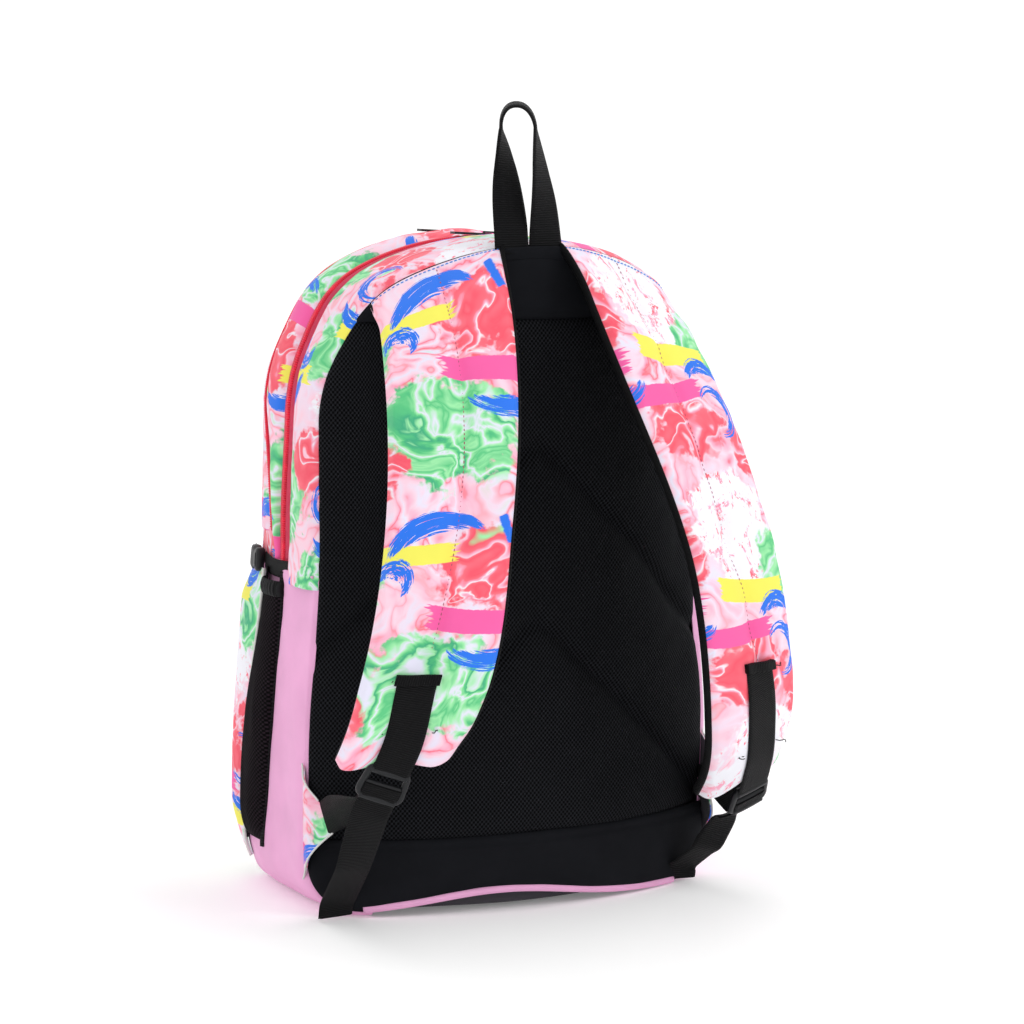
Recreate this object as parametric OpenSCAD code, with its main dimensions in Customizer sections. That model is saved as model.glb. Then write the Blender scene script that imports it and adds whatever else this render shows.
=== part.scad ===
// School backpack: an arched bag with a padded back, two zipped compartments, a front pocket,
// two bottle pockets, two shoulder straps and a grab loop.
// Origin: centre of the base on the floor. +X is the right side seen from the strap side,
// -Y is the wearer's side, +Z is up.

/* [Bag outline] */
// Width across the bag
body_w = 300; // [290:2:320]
// Height of the bag without its grab loop
body_h = 450; // [440:2:480]
// Radius of the crown of the arch
crown_r = 200; // [190:2:210]
// Radius of the shoulders of the arch
shoulder_r = 110; // [105:1:115]
// Radius of the bottom corners
foot_r = 35; // [28:1:42]
// Thickness of the fabric walls
wall = 2; // [1.6:0.1:2.4]
// Height where the side panels end and the zips begin
side_h = 235; // [230:1:240]
// Height of the fold where the front tips forward
fold_h = 250; // [246:1:254]

/* [Depths] */
// How far the back seam sits behind the origin
seam_back = 75; // [70:1:80]
// Bulge of the padded back in plan
back_bulge = 42; // [36:1:46]
// Depth of the main gusset, from the back seam
main_gusset_d = 52; // [46:1:56]
// Width of a zip, both tapes together
zip_w = 14; // [13:0.5:16]
// Depth of the second gusset
second_gusset_d = 44; // [38:1:50]
// Depth of the rim around the front panel
front_rim_d = 14; // [10:1:18]
// Thickness of the foam in the back
foam_t = 8; // [6:0.5:10]

/* [Front pocket] */
// Width of the front pocket
pocket_w = 270; // [250:2:276]
// Depth of the front pocket
pocket_d = 45; // [38:1:50]
// Height of the top of the front pocket
pocket_h = 242; // [236:1:244]
// Plan radius of the pocket's front corners
pocket_corner_r = 30; // [24:1:36]
// Length of the pocket zip
pocket_zip_len = 200; // [170:2:206]

/* [Bottle pockets] */
// Depth of the mouth, along the side of the bag
bottle_mouth = 68; // [60:1:70]
// How far the slack mesh stands off the side
bottle_sag = 14; // [12:0.5:18]
// Height of the mesh
bottle_h = 180; // [172:1:180]

/* [Webbing and straps] */
// Width of the strap and handle webbing
webbing_w = 25; // [24:0.5:26]
// Thickness of the webbing
webbing_t = 2; // [1.6:0.1:2.2]
// Width of the compression webbing
side_webbing_w = 12; // [11:0.5:13]
// Thickness of a shoulder strap
strap_t = 12; // [10:0.5:13]
// Width of a shoulder strap at its top seam
strap_top_w = 98; // [90:1:98]
// Share of a shoulder strap's path that the shorter left pad covers
left_reach = 0.9; // [0.88:0.01:0.94]
// Width of a shoulder strap at its lower end
strap_end_w = 60; // [54:1:64]
// Height of the grab loop above the bag
grab_h = 100; // [85:1:110]

/* [Hidden] */
$fn = 64;
$left = false;

// Clearances
seam_gap = 0.3;
fold_gap = 1;
panel_t = 3;
sheet_t = 1.5;
big = 1000;

// Outline
half_w = body_w / 2;
shoulder_x = half_w - shoulder_r;
crown_z = body_h - crown_r;
arch_tilt = asin(shoulder_x / (crown_r - shoulder_r));
shoulder_z = crown_z + (crown_r - shoulder_r) * cos(arch_tilt);
foot_x = half_w - foot_r;
inner_inset = wall + seam_gap;

// Depth stations, from back to front
y_seam = -seam_back;
y_main_zip = y_seam + main_gusset_d + zip_w / 2;
y_second = y_main_zip + zip_w / 2;
y_second_zip = y_second + second_gusset_d + zip_w / 2;
y_front = y_second_zip + zip_w / 2 + front_rim_d;
back_r = (half_w * half_w + back_bulge * back_bulge) / (2 * back_bulge);
back_y = y_seam - back_bulge + back_r;
back_skin_y = y_seam - back_bulge;

// Heights on the back
yoke_z = 400;
band_z = 52;

// Zip section
coil_gap = 0.7;
coil_w = 1.8;
coil_out = 0.6;
coil_in = 2.2;
tape_out = 0.4;
tape_in = 1.6;

// Zip sliders
slider_l = 12;
slider_w = 9;
plate_t = 1.2;
plate_gap = 0.4;
bridge_gap = 2;
pull_pin_r = 0.8;
pull_w = 8;
pull_l = 28;
pull_z = coil_out + plate_gap + plate_t + bridge_gap / 2;
slider_mid_x = 22;
slider_spacing = 20;

// ---------- shared shapes ----------

function arc(cx, cz, r, a0, a1, n, last) =
    [for (i = [0 : n - (last ? 0 : 1)]) let (a = a0 + (a1 - a0) * i / n) [cx + r * cos(a), cz + r * sin(a)]];

// The bag's arched outline, moved inwards by inset
function arch(inset) = concat(
    arc(foot_x, foot_r, foot_r - inset, -90, 0, 6, true),
    arc(shoulder_x, shoulder_z, shoulder_r - inset, 0, 90 - arch_tilt, 8, false),
    arc(0, crown_z, crown_r - inset, 90 - arch_tilt, 90 + arch_tilt, 16, false),
    arc(-shoulder_x, shoulder_z, shoulder_r - inset, 90 + arch_tilt, 180, 8, true),
    arc(-foot_x, foot_r, foot_r - inset, 180, 270, 6, true));

// A slab of the outline between two depths
module arch_slab(y0, y1, inset) {
    translate([0, y1, 0]) rotate([90, 0, 0]) linear_extrude(y1 - y0) polygon(arch(inset));
}

// A ring of the outline between two depths, from inset i0 to inset i1
module arch_ring(y0, y1, i0, i1) {
    translate([0, y1, 0]) rotate([90, 0, 0]) linear_extrude(y1 - y0)
        difference() {
            polygon(arch(i0));
            polygon(arch(i1));
        }
}

// Everything between two heights
module between(z0, z1) {
    translate([-big / 2, -big / 2, z0]) cube([big, big, z1 - z0]);
}

module above(z) {
    between(z, big);
}

// The volume inside the rounded back, moved inwards by inset
module back_volume(inset) {
    translate([0, back_y, 0]) cylinder(h = big, r = back_r - inset, $fn = 180);
}

// A curved sheet that follows the rounded back
module back_sheet(depth, t, z0, z1) {
    intersection() {
        arch_slab(back_skin_y - 1, y_seam + main_gusset_d, inner_inset);
        between(z0, z1);
        difference() {
            back_volume(depth);
            back_volume(depth + t);
        }
    }
}

module left_half() {
    $left = true;
    mirror([1, 0, 0]) children();
}

// Solid through a list of rings of points
module loft(rings) {
    n = len(rings[0]);
    m = len(rings);
    sides = [for (i = [0 : m - 2]) for (j = [0 : n - 1]) let (k = (j + 1) % n)
        each [[i * n + j, (i + 1) * n + j, (i + 1) * n + k],
              [i * n + j, (i + 1) * n + k, i * n + k]]];
    first = [for (j = [0 : n - 1]) j];
    last = [for (j = [n - 1 : -1 : 0]) (m - 1) * n + j];
    polyhedron(points = [for (r = rings) each r], faces = concat([first], sides, [last]));
}

function unit(v) = v / norm(v);
function bez(p, t) =
    pow(1 - t, 3) * p[0] + 3 * t * pow(1 - t, 2) * p[1] + 3 * t * t * (1 - t) * p[2] + pow(t, 3) * p[3];
function bez_dir(p, t) =
    unit(pow(1 - t, 2) * (p[1] - p[0]) + 2 * t * (1 - t) * (p[2] - p[1]) + t * t * (p[3] - p[2]));
function smooth(s) = s * s * (3 - 2 * s);

// Rectangle across a path: c centre, w across, n outwards
function band_ring(c, w, n, u0, u1, v0, v1) =
    [c + u0 * w + v0 * n, c + u1 * w + v0 * n, c + u1 * w + v1 * n, c + u0 * w + v1 * n];

// ---------- back ----------

module back_mesh_panel() {
    color([0.05, 0.05, 0.06]) back_sheet(0, panel_t, band_z + seam_gap, yoke_z);
}

module back_yoke() {
    color([0.07, 0.07, 0.08]) back_sheet(0, panel_t, yoke_z + seam_gap, big);
}

module back_lower_band() {
    color([0.07, 0.07, 0.08]) back_sheet(0, panel_t, wall + seam_gap, band_z);
}

module back_foam() {
    color([0.35, 0.35, 0.37]) back_sheet(panel_t + seam_gap, foam_t, wall + seam_gap, big);
}

module inner_sleeve() {
    sleeve_w = 230;
    sleeve_h = 270;
    sleeve_depth = panel_t + foam_t + 3;
    color([0.2, 0.2, 0.22]) intersection() {
        back_sheet(sleeve_depth, sheet_t, wall + seam_gap, sleeve_h);
        translate([-sleeve_w / 2, -big / 2, 0]) cube([sleeve_w, big, big]);
    }
}

// ---------- bag walls ----------

module main_gusset() {
    color([0.93, 0.62, 0.75]) intersection() {
        arch_ring(back_skin_y - 1, y_main_zip - zip_w / 2 - seam_gap, 0, wall);
        back_volume(0);
        above(side_h + seam_gap);
    }
}

module side_panel_right() {
    inner_x = foot_x - 1;
    color([0.93, 0.69, 0.85]) intersection() {
        arch_ring(y_seam, y_front - wall - seam_gap, 0, wall);
        union() {
            translate([inner_x, y_seam, 0]) cube([big, main_gusset_d, side_h]);
            translate([inner_x, y_second, 0]) cube([big, big, fold_h - fold_gap]);
            translate([inner_x, y_seam, 0]) cube([big, big, side_h]);
        }
    }
}

module side_panel_left() {
    left_half() side_panel_right();
}

module base_panel() {
    color([0.93, 0.69, 0.85]) intersection() {
        arch_ring(back_skin_y - 1, y_front - wall - seam_gap, 0, wall);
        back_volume(0);
        translate([-foot_x + 1 + seam_gap, -big / 2, 0]) cube([2 * (foot_x - 1 - seam_gap), big, foot_r]);
    }
}

module divider() {
    arch_slab(y_second, y_second + sheet_t, inner_inset);
}

module divider_lower() {
    color([0.2, 0.2, 0.22]) intersection() {
        divider();
        between(0, fold_h - fold_gap);
    }
}

module divider_upper() {
    color([0.2, 0.2, 0.22]) intersection() {
        divider();
        above(fold_h + fold_gap);
    }
}

module front_lower_panel() {
    color([0.85, 0.7, 0.8]) intersection() {
        arch_slab(y_front - wall, y_front, 0);
        between(0, fold_h - fold_gap);
    }
}

module second_gusset() {
    color([0.93, 0.62, 0.75]) intersection() {
        arch_ring(y_second, y_second_zip - zip_w / 2 - seam_gap, 0, wall);
        above(fold_h + fold_gap);
    }
}

module front_rim() {
    color([0.93, 0.62, 0.75]) intersection() {
        arch_ring(y_second_zip + zip_w / 2 + seam_gap, y_front - wall - seam_gap, 0, wall);
        above(fold_h + fold_gap);
    }
}

module front_panel() {
    color([0.7, 0.85, 0.8]) intersection() {
        arch_slab(y_front - wall, y_front, 0);
        above(fold_h + fold_gap);
    }
}

// ---------- zips ----------

// One half of a zip round the arch: side is -1 for the back half, 1 for the front half
module arch_zip_half(y_mid, side, z_from) {
    tape_a = y_mid + side * (coil_gap + coil_w - seam_gap);
    tape_b = y_mid + side * (zip_w / 2 - seam_gap);
    coil_a = y_mid + side * coil_gap;
    coil_b = y_mid + side * (coil_gap + coil_w);
    color([0.86, 0.16, 0.32]) intersection() {
        union() {
            arch_ring(min(tape_a, tape_b), max(tape_a, tape_b), tape_out, tape_in);
            arch_ring(min(coil_a, coil_b), max(coil_a, coil_b), -coil_out, coil_in);
        }
        above(z_from);
    }
}

module main_zip_back() {
    arch_zip_half(y_main_zip, -1, side_h + seam_gap);
}

module main_zip_front() {
    arch_zip_half(y_main_zip, 1, fold_h + fold_gap);
}

module second_zip_back() {
    arch_zip_half(y_second_zip, -1, fold_h + fold_gap);
}

module second_zip_front() {
    arch_zip_half(y_second_zip, 1, fold_h + fold_gap);
}

// Slider in its own frame: x along the zip, y across it, z outwards. Its lower plate holds only
// the half that the slider stays with, so that the other half can part from it.
module zip_slider() {
    top_z = coil_out + plate_gap;
    low_z = -coil_in - plate_gap - plate_t;
    post_w = 1;
    post_l = 4;
    bridge_w = 1.6;
    bridge_l = 9.6;
    bridge_t = 1.2;
    color([0.12, 0.12, 0.13]) {
        translate([-slider_l / 2, -slider_w / 2, top_z]) cube([slider_l, slider_w, plate_t]);
        translate([-slider_l / 2, -post_w / 2, low_z]) cube([slider_l, slider_w / 2, plate_t]);
        translate([-post_l / 2, -post_w / 2, low_z]) cube([post_l, post_w, top_z - low_z + plate_t / 2]);
        for (s = [-1, 1])
            translate([s * (bridge_l - bridge_t) / 2 - bridge_t / 2, -bridge_w / 2, top_z])
                cube([bridge_t, bridge_w, plate_t + bridge_gap + bridge_t]);
        translate([-bridge_l / 2, -bridge_w / 2, top_z + plate_t + bridge_gap])
            cube([bridge_l, bridge_w, bridge_t]);
    }
}

// Pull in the slider's frame, lying along +x from its pin
module zip_pull() {
    arm_in = 1.3;
    arm_out = 2.9;
    arm_l = 8;
    color([0.12, 0.12, 0.13]) translate([0, 0, pull_z]) {
        translate([0, arm_out, 0]) rotate([90, 0, 0]) cylinder(h = 2 * arm_out, r = pull_pin_r, $fn = 32);
        for (s = [-1, 1])
            translate([0, s * (arm_in + arm_out) / 2 - (arm_out - arm_in) / 2, -pull_pin_r])
                cube([arm_l, arm_out - arm_in, 2 * pull_pin_r]);
        translate([arm_l - 1, -pull_w / 2, -pull_pin_r]) cube([pull_l - arm_l + 1, pull_w, 2 * pull_pin_r]);
    }
}

// Angle round the crown of a slider that sits at x
function crown_angle(x) = asin(x / crown_r);

// Puts a child from the slider's frame onto the crown of the arch
module on_crown(x, y) {
    translate([0, y, crown_z]) rotate([0, crown_angle(x), 0]) translate([0, 0, crown_r]) children();
}

left_x = slider_mid_x - slider_spacing / 2;
right_x = slider_mid_x + slider_spacing / 2;

module main_slider_left() {
    on_crown(left_x, y_main_zip) zip_slider();
}

module main_slider_right() {
    on_crown(right_x, y_main_zip) zip_slider();
}

module main_pull_left() {
    on_crown(left_x, y_main_zip) left_half() zip_pull();
}

module main_pull_right() {
    on_crown(right_x, y_main_zip) zip_pull();
}

module second_slider_left() {
    on_crown(left_x, y_second_zip) zip_slider();
}

module second_slider_right() {
    on_crown(right_x, y_second_zip) zip_slider();
}

module second_pull_left() {
    on_crown(left_x, y_second_zip) left_half() zip_pull();
}

module second_pull_right() {
    on_crown(right_x, y_second_zip) zip_pull();
}

// ---------- front pocket ----------

pocket_back = y_front + seam_gap;
pocket_front = pocket_back + pocket_d;
pocket_base = 12;
slope_run = 38;
slope_drop = 20;
slope_a = atan(slope_drop / slope_run);
pocket_zip_x = -pocket_zip_len / 2 + 12;

// The pocket's outer shape, moved inwards by inset
module pocket_shape(inset) {
    half = pocket_w / 2 - inset;
    r = pocket_corner_r - inset;
    front = pocket_front - inset;
    lean = inset * tan(slope_a);
    intersection() {
        linear_extrude(big) union() {
            translate([-half, pocket_back]) square([2 * half, front - r - pocket_back]);
            translate([-(half - r), pocket_back]) square([2 * (half - r), front - pocket_back]);
            for (s = [-1, 1]) translate([s * (half - r), front - r]) circle(r = r);
        }
        rotate([90, 0, 90]) translate([0, 0, -big / 2]) linear_extrude(big) polygon([
            [pocket_back, pocket_base + inset],
            [front - 8, pocket_base + inset],
            [front, pocket_base + 12 + inset],
            [front, pocket_h - slope_drop - inset + lean],
            [pocket_front - slope_run, pocket_h - inset / cos(slope_a) + lean],
            [pocket_back, pocket_h - inset / cos(slope_a) + lean]
        ]);
    }
}

// Puts a child onto the middle of the pocket's sloping top
module on_slope() {
    translate([0, pocket_front - slope_run / 2, pocket_h - slope_drop / 2])
        rotate([-slope_a, 0, 0]) children();
}

module front_pocket() {
    zip_hole_l = pocket_zip_len + 2;
    color([0.93, 0.62, 0.75]) difference() {
        pocket_shape(0);
        translate([0, -seam_gap, 0]) pocket_shape(wall);
        on_slope() translate([-zip_hole_l / 2, -zip_w / 2, -2 * wall]) cube([zip_hole_l, zip_w, 4 * wall]);
    }
}

module pocket_piping() {
    pipe_r = 1.6;
    pipe_x = pocket_w / 2 + pipe_r + seam_gap;
    pipe_y = pocket_back + pipe_r;
    color([0.93, 0.93, 0.92])
        for (s = [-1, 1]) translate([s * pipe_x, pipe_y, pocket_base + 8])
            cylinder(h = pocket_h - pocket_base - 16, r = pipe_r, $fn = 24);
}

module pocket_zip() {
    tape_a = coil_gap + coil_w - seam_gap;
    tape_b = zip_w / 2 - seam_gap;
    color([0.86, 0.16, 0.32]) on_slope() for (s = [-1, 1]) {
        translate([-pocket_zip_len / 2, s * (tape_a + tape_b) / 2 - (tape_b - tape_a) / 2, -tape_in])
            cube([pocket_zip_len, tape_b - tape_a, tape_in - tape_out]);
        translate([-pocket_zip_len / 2, s * (coil_gap + coil_w / 2) - coil_w / 2, -coil_in])
            cube([pocket_zip_len, coil_w, coil_in + coil_out]);
    }
}

module pocket_slider() {
    on_slope() translate([pocket_zip_x, 0, 0]) zip_slider();
}

module pocket_pull() {
    on_slope() translate([pocket_zip_x, 0, 0]) zip_pull();
}

// ---------- bottle pockets ----------

bottle_base = 32;
bottle_mid_y = y_seam + 54 + bottle_mouth / 2;
bottle_r = (bottle_mouth * bottle_mouth / 4 + bottle_sag * bottle_sag) / (2 * bottle_sag);
bottle_x = half_w + seam_gap + bottle_sag - bottle_r;
bottle_t = 1.2;

// A sheet that bows out from the side of the bag
module bowed_sheet(t, z0, z1) {
    intersection() {
        translate([bottle_x, bottle_mid_y, z0]) difference() {
            cylinder(h = z1 - z0, r = bottle_r + t, $fn = 120);
            translate([0, 0, -1]) cylinder(h = z1 - z0 + 2, r = bottle_r, $fn = 120);
        }
        translate([half_w + seam_gap, -big / 2, z0]) cube([big, big, z1 - z0]);
    }
}

module mesh_pocket_right() {
    color([0.09, 0.09, 0.1]) {
        bowed_sheet(bottle_t, bottle_base, bottle_base + bottle_h);
        intersection() {
            translate([bottle_x, bottle_mid_y, bottle_base])
                cylinder(h = bottle_t, r = bottle_r + bottle_t / 2);
            translate([half_w + seam_gap, -big / 2, 0]) cube([big, big, big]);
        }
    }
}

module mesh_pocket_left() {
    left_half() mesh_pocket_right();
}

module pocket_elastic_right() {
    elastic_h = 9;
    elastic_z = bottle_base + bottle_h + seam_gap;
    color([0.06, 0.06, 0.07]) bowed_sheet(webbing_t, elastic_z, elastic_z + elastic_h);
}

module pocket_elastic_left() {
    left_half() pocket_elastic_right();
}

// ---------- compression straps ----------

side_z = fold_h - 20;
side_x = half_w + 1.5;
side_y0 = y_seam + 36;
buckle_y = y_seam + 96;
buckle_l = 22;
buckle_h = side_webbing_w + 4.5;
buckle_t = 8;
prong_l = 15;
prong_h = side_webbing_w;
prong_t = 4;
prong_gap = 0.3;

module side_webbing_right() {
    color([0.06, 0.06, 0.07])
        translate([side_x, side_y0, side_z - side_webbing_w / 2])
            cube([webbing_t, buckle_y - side_y0 - seam_gap, side_webbing_w]);
}

module side_webbing_left() {
    left_half() side_webbing_right();
}

module buckle_socket_right() {
    hole_h = prong_h + 2 * prong_gap;
    hole_t = prong_t + 2 * prong_gap;
    color([0.13, 0.14, 0.15]) translate([side_x, buckle_y, side_z]) difference() {
        translate([0, 0, -buckle_h / 2]) cube([buckle_t, buckle_l, buckle_h]);
        translate([(buckle_t - hole_t) / 2, buckle_l - prong_l - 1, -hole_h / 2]) cube([hole_t, big, hole_h]);
    }
}

module buckle_socket_left() {
    left_half() buckle_socket_right();
}

// Plug with its prongs in the socket and the end of webbing that it carries
module buckle_plug_right() {
    head_l = 9;
    stub_l = 18;
    color([0.13, 0.14, 0.15]) translate([side_x, buckle_y + buckle_l + seam_gap, side_z]) {
        translate([(buckle_t - prong_t) / 2, -prong_l, -prong_h / 2]) cube([prong_t, prong_l + 1, prong_h]);
        translate([0.5, 0, -buckle_h / 2 + 1]) cube([buckle_t - 1, head_l, buckle_h - 2]);
        translate([1, head_l - 1, -side_webbing_w / 2]) cube([webbing_t, stub_l, side_webbing_w]);
    }
}

module buckle_plug_left() {
    left_half() buckle_plug_right();
}

// ---------- grab loop ----------

grab_y = back_skin_y - 3;
grab_z = body_h + 2.5;
grab_base_x = webbing_w / 2 + 0.5;
grab_top_r = 9;
grab_lean = 15;
grab_leg = grab_h - grab_top_r - 2;
grab_steps = 10;

// One ring of the right leg at s, from 0 at the base to 1 at the bend
function grab_leg_ring(s, side) =
    let (twist = 90 * smooth(min(1, s / 0.8)),
         x = grab_base_x + (grab_top_r - grab_base_x) * smooth(s),
         c = [side * x, grab_y + grab_lean * s, grab_z + grab_leg * s],
         w = [-side * cos(twist), sin(twist), 0],
         n = [side * sin(twist), cos(twist), 0])
    band_ring(c, w, n, -webbing_w / 2, webbing_w / 2, -webbing_t / 2, webbing_t / 2);

function grab_bend_ring(a) =
    let (c = [grab_top_r * cos(a), grab_y + grab_lean, grab_z + grab_leg + grab_top_r * sin(a)])
    band_ring(c, [0, 1, 0], [cos(a), 0, sin(a)],
        -webbing_w / 2, webbing_w / 2, -webbing_t / 2, webbing_t / 2);

module grab_loop() {
    color([0.06, 0.06, 0.07]) loft(concat(
        [for (i = [0 : grab_steps]) grab_leg_ring(i / grab_steps, -1)],
        [for (i = [1 : grab_steps - 1]) grab_bend_ring(180 - 180 * i / grab_steps)],
        [for (i = [grab_steps : -1 : 0]) grab_leg_ring(i / grab_steps, 1)]));
}

// ---------- shoulder straps ----------

strap_top_x = 71;
strap_stand_off = 38;
strap_path = [
    [strap_top_x, y_seam - strap_stand_off, body_h - 17],
    [strap_top_x + 8, y_seam - 105, body_h - 80],
    [half_w - 38, y_seam - 176, body_h - 255],
    [half_w - 10, y_seam - 85, body_h - 353]
];
strap_steps = 22;
strap_drop_a = 22;
strap_turn_top = 14;
strap_turn_end = 20;
pad_v0 = -strap_t / 2 + 2;
pad_v1 = strap_t / 2;
lining_v0 = -strap_t / 2;
lining_v1 = pad_v0 - seam_gap;
binding_w = 3;

// How far along the path a strap's pad reaches: the left one is sewn shorter
function strap_reach() = $left ? left_reach : 1;
function strap_dir(t) = bez_dir(strap_path, t * strap_reach());
// Direction across the strap, towards its outer edge
function strap_across(t) =
    let (drop = strap_drop_a * (1 - smooth(min(1, t / 0.4))),
         turn = strap_turn_top + (strap_turn_end - strap_turn_top) * smooth(min(1, t / 0.4)))
    [cos(turn) * cos(drop), sin(turn) * cos(drop), -sin(drop)];
function strap_out(t) = unit(cross(strap_dir(t), strap_across(t)));
function strap_half_w(t) = lookup(t, [
    [0, strap_top_w / 2],
    [0.5, strap_top_w / 2 - 5],
    [0.85, strap_top_w / 2 - 11],
    [1, strap_end_w / 2]
]);

function strap_ring(t, u0, u1, v0, v1) =
    band_ring(bez(strap_path, t * strap_reach()), strap_across(t), strap_out(t), u0, u1, v0, v1);

// Rings of a layer of the strap between its bindings, from v0 to v1 across the thickness
function strap_layer(v0, v1) =
    [for (i = [0 : strap_steps]) let (t = i / strap_steps, u = strap_half_w(t) - binding_w - seam_gap)
        strap_ring(t, -u, u, v0, v1)];

module strap_pad_right() {
    color([0.93, 0.62, 0.75]) loft(strap_layer(pad_v0, pad_v1));
}

module strap_pad_left() {
    left_half() strap_pad_right();
}

module strap_lining_right() {
    color([0.08, 0.08, 0.09]) loft(strap_layer(lining_v0, lining_v1));
}

module strap_lining_left() {
    left_half() strap_lining_right();
}

module strap_binding_right() {
    edge_v = strap_t / 2 - 1.5;
    color([0.06, 0.06, 0.07]) for (s = [-1, 1])
        loft([for (i = [0 : strap_steps])
            let (t = i / strap_steps, a = s * strap_half_w(t), b = a - s * binding_w)
            strap_ring(t, min(a, b), max(a, b), -edge_v, edge_v)]);
}

module strap_binding_left() {
    left_half() strap_binding_right();
}

// Frame at the lower end of the strap
sewn_from = 0.8;
sewn_steps = 5;
sewn_v = strap_t / 2 + seam_gap;
bar_reach = 11;
bar_r = 2.2;
bar_clear = 0.05;
loop_t = 1.6;

function end_dir() = strap_dir(1);
function end_out() = strap_out(1);
function end_across() = unit(cross(end_out(), end_dir()));
function bar_pos() =
    bez(strap_path, strap_reach()) + bar_reach * end_dir() + (sewn_v + webbing_t / 2) * end_out();

// Puts a child at the lock's bar: x along the bar, y outwards from the strap, z back up the strap
module at_bar() {
    a = end_across();
    o = end_out();
    d = end_dir();
    p = bar_pos();
    multmatrix([
        [a[0], o[0], -d[0], p[0]],
        [a[1], o[1], -d[1], p[1]],
        [a[2], o[2], -d[2], p[2]],
        [0, 0, 0, 1]
    ]) children();
}

// Webbing sewn to the pad, with the folded eye that holds the lock's bar
module strap_webbing_right() {
    eye_r = bar_r + bar_clear + loop_t;
    color([0.06, 0.06, 0.07]) {
        loft([for (i = [0 : sewn_steps]) let (t = sewn_from + (1 - sewn_from) * i / sewn_steps)
            strap_ring(t, -webbing_w / 2, webbing_w / 2, sewn_v, sewn_v + webbing_t)]);
        at_bar() difference() {
            union() {
                translate([-webbing_w / 2, 0, 0]) rotate([0, 90, 0]) cylinder(h = webbing_w, r = eye_r);
                translate([-webbing_w / 2, -webbing_t / 2, 0]) cube([webbing_w, webbing_t, bar_reach + 0.5]);
            }
            translate([-webbing_w, 0, 0])
                rotate([0, 90, 0]) cylinder(h = 2 * webbing_w, r = bar_r + bar_clear);
        }
    }
}

module strap_webbing_left() {
    left_half() strap_webbing_right();
}

// Ladder lock: a bar in the strap's eye, two rails and two gripping bars
module ladder_lock_right() {
    lock_w = 37;
    lock_l = 28;
    rail_w = 4.5;
    rail_t = 4.4;
    grip_w = 4;
    color([0.13, 0.14, 0.15]) at_bar() {
        translate([-lock_w / 2, 0, 0]) rotate([0, 90, 0]) cylinder(h = lock_w, r = bar_r);
        for (s = [-1, 1]) translate([s * (lock_w - rail_w) / 2 - rail_w / 2, -rail_t / 2, -lock_l])
            cube([rail_w, rail_t, lock_l + bar_r]);
        translate([-lock_w / 2, -rail_t / 2, -13 - grip_w]) cube([lock_w, rail_t, grip_w]);
        translate([-lock_w / 2, -rail_t / 2, -lock_l]) cube([lock_w, rail_t, grip_w]);
    }
}

module ladder_lock_left() {
    left_half() ladder_lock_right();
}

// ---------- lower webbing ----------

wing_x = half_w + 0.5;
wing_tip_z = 56;

module strap_wing_right() {
    color([0.93, 0.62, 0.75]) translate([wing_x, 0, 0]) rotate([90, 0, 90]) linear_extrude(wall) polygon([
        [y_seam + 14, 15],
        [y_seam + 14, 115],
        [y_seam - 22, wing_tip_z + webbing_w / 2],
        [y_seam - 22, wing_tip_z - webbing_w / 2]
    ]);
}

module strap_wing_left() {
    left_half() strap_wing_right();
}

// Webbing from the wing, open at the lock where the real loop closes
module anchor_webbing_right() {
    start = [wing_x + webbing_t / 2, y_seam - 30, wing_tip_z + 2];
    end = [half_w, y_seam - 58, wing_tip_z + 14];
    run = unit(end - start);
    across = unit(cross([1, 0, 0], run));
    side = cross(run, across);
    color([0.06, 0.06, 0.07]) loft([for (p = [start, end])
        band_ring(p, across, side, -webbing_w / 2, webbing_w / 2, -webbing_t / 2, webbing_t / 2)]);
}

module anchor_webbing_left() {
    left_half() anchor_webbing_right();
}

// Free end that hangs from the lock to the foot of the bag
module tail_webbing_right() {
    tail_x = half_w - 14;
    top = bar_pos() + 38 * end_dir();
    path = [
        [tail_x + 2, top[1] - 8, top[2] - 2],
        [tail_x + 2, top[1] - 6, top[2] - 22],
        [tail_x, y_seam - 27, 24],
        [tail_x, y_seam - 20, 4]
    ];
    steps = 10;
    color([0.06, 0.06, 0.07]) loft([for (i = [0 : steps]) let (t = i / steps, w = [1, 0, 0])
        band_ring(bez(path, t), w, unit(cross(bez_dir(path, t), w)),
            -webbing_w / 2, webbing_w / 2, -webbing_t / 2, webbing_t / 2)]);
}

module tail_webbing_left() {
    left_half() tail_webbing_right();
}

back_mesh_panel();
back_yoke();
back_lower_band();
back_foam();
inner_sleeve();
main_gusset();
side_panel_left();
side_panel_right();
base_panel();
divider_lower();
divider_upper();
front_lower_panel();
main_zip_back();
main_zip_front();
second_gusset();
second_zip_back();
second_zip_front();
front_rim();
front_panel();
main_slider_left();
main_slider_right();
main_pull_left();
main_pull_right();
second_slider_left();
second_slider_right();
second_pull_left();
second_pull_right();
front_pocket();
pocket_piping();
pocket_zip();
pocket_slider();
pocket_pull();
mesh_pocket_left();
mesh_pocket_right();
pocket_elastic_left();
pocket_elastic_right();
side_webbing_left();
side_webbing_right();
buckle_socket_left();
buckle_socket_right();
buckle_plug_left();
buckle_plug_right();
grab_loop();
strap_pad_left();
strap_pad_right();
strap_lining_left();
strap_lining_right();
strap_binding_left();
strap_binding_right();
strap_webbing_left();
strap_webbing_right();
ladder_lock_left();
ladder_lock_right();
anchor_webbing_left();
anchor_webbing_right();
tail_webbing_left();
tail_webbing_right();
strap_wing_left();
strap_wing_right();
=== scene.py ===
"""School backpack: sewn panels, zips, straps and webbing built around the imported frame."""
import math

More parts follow.
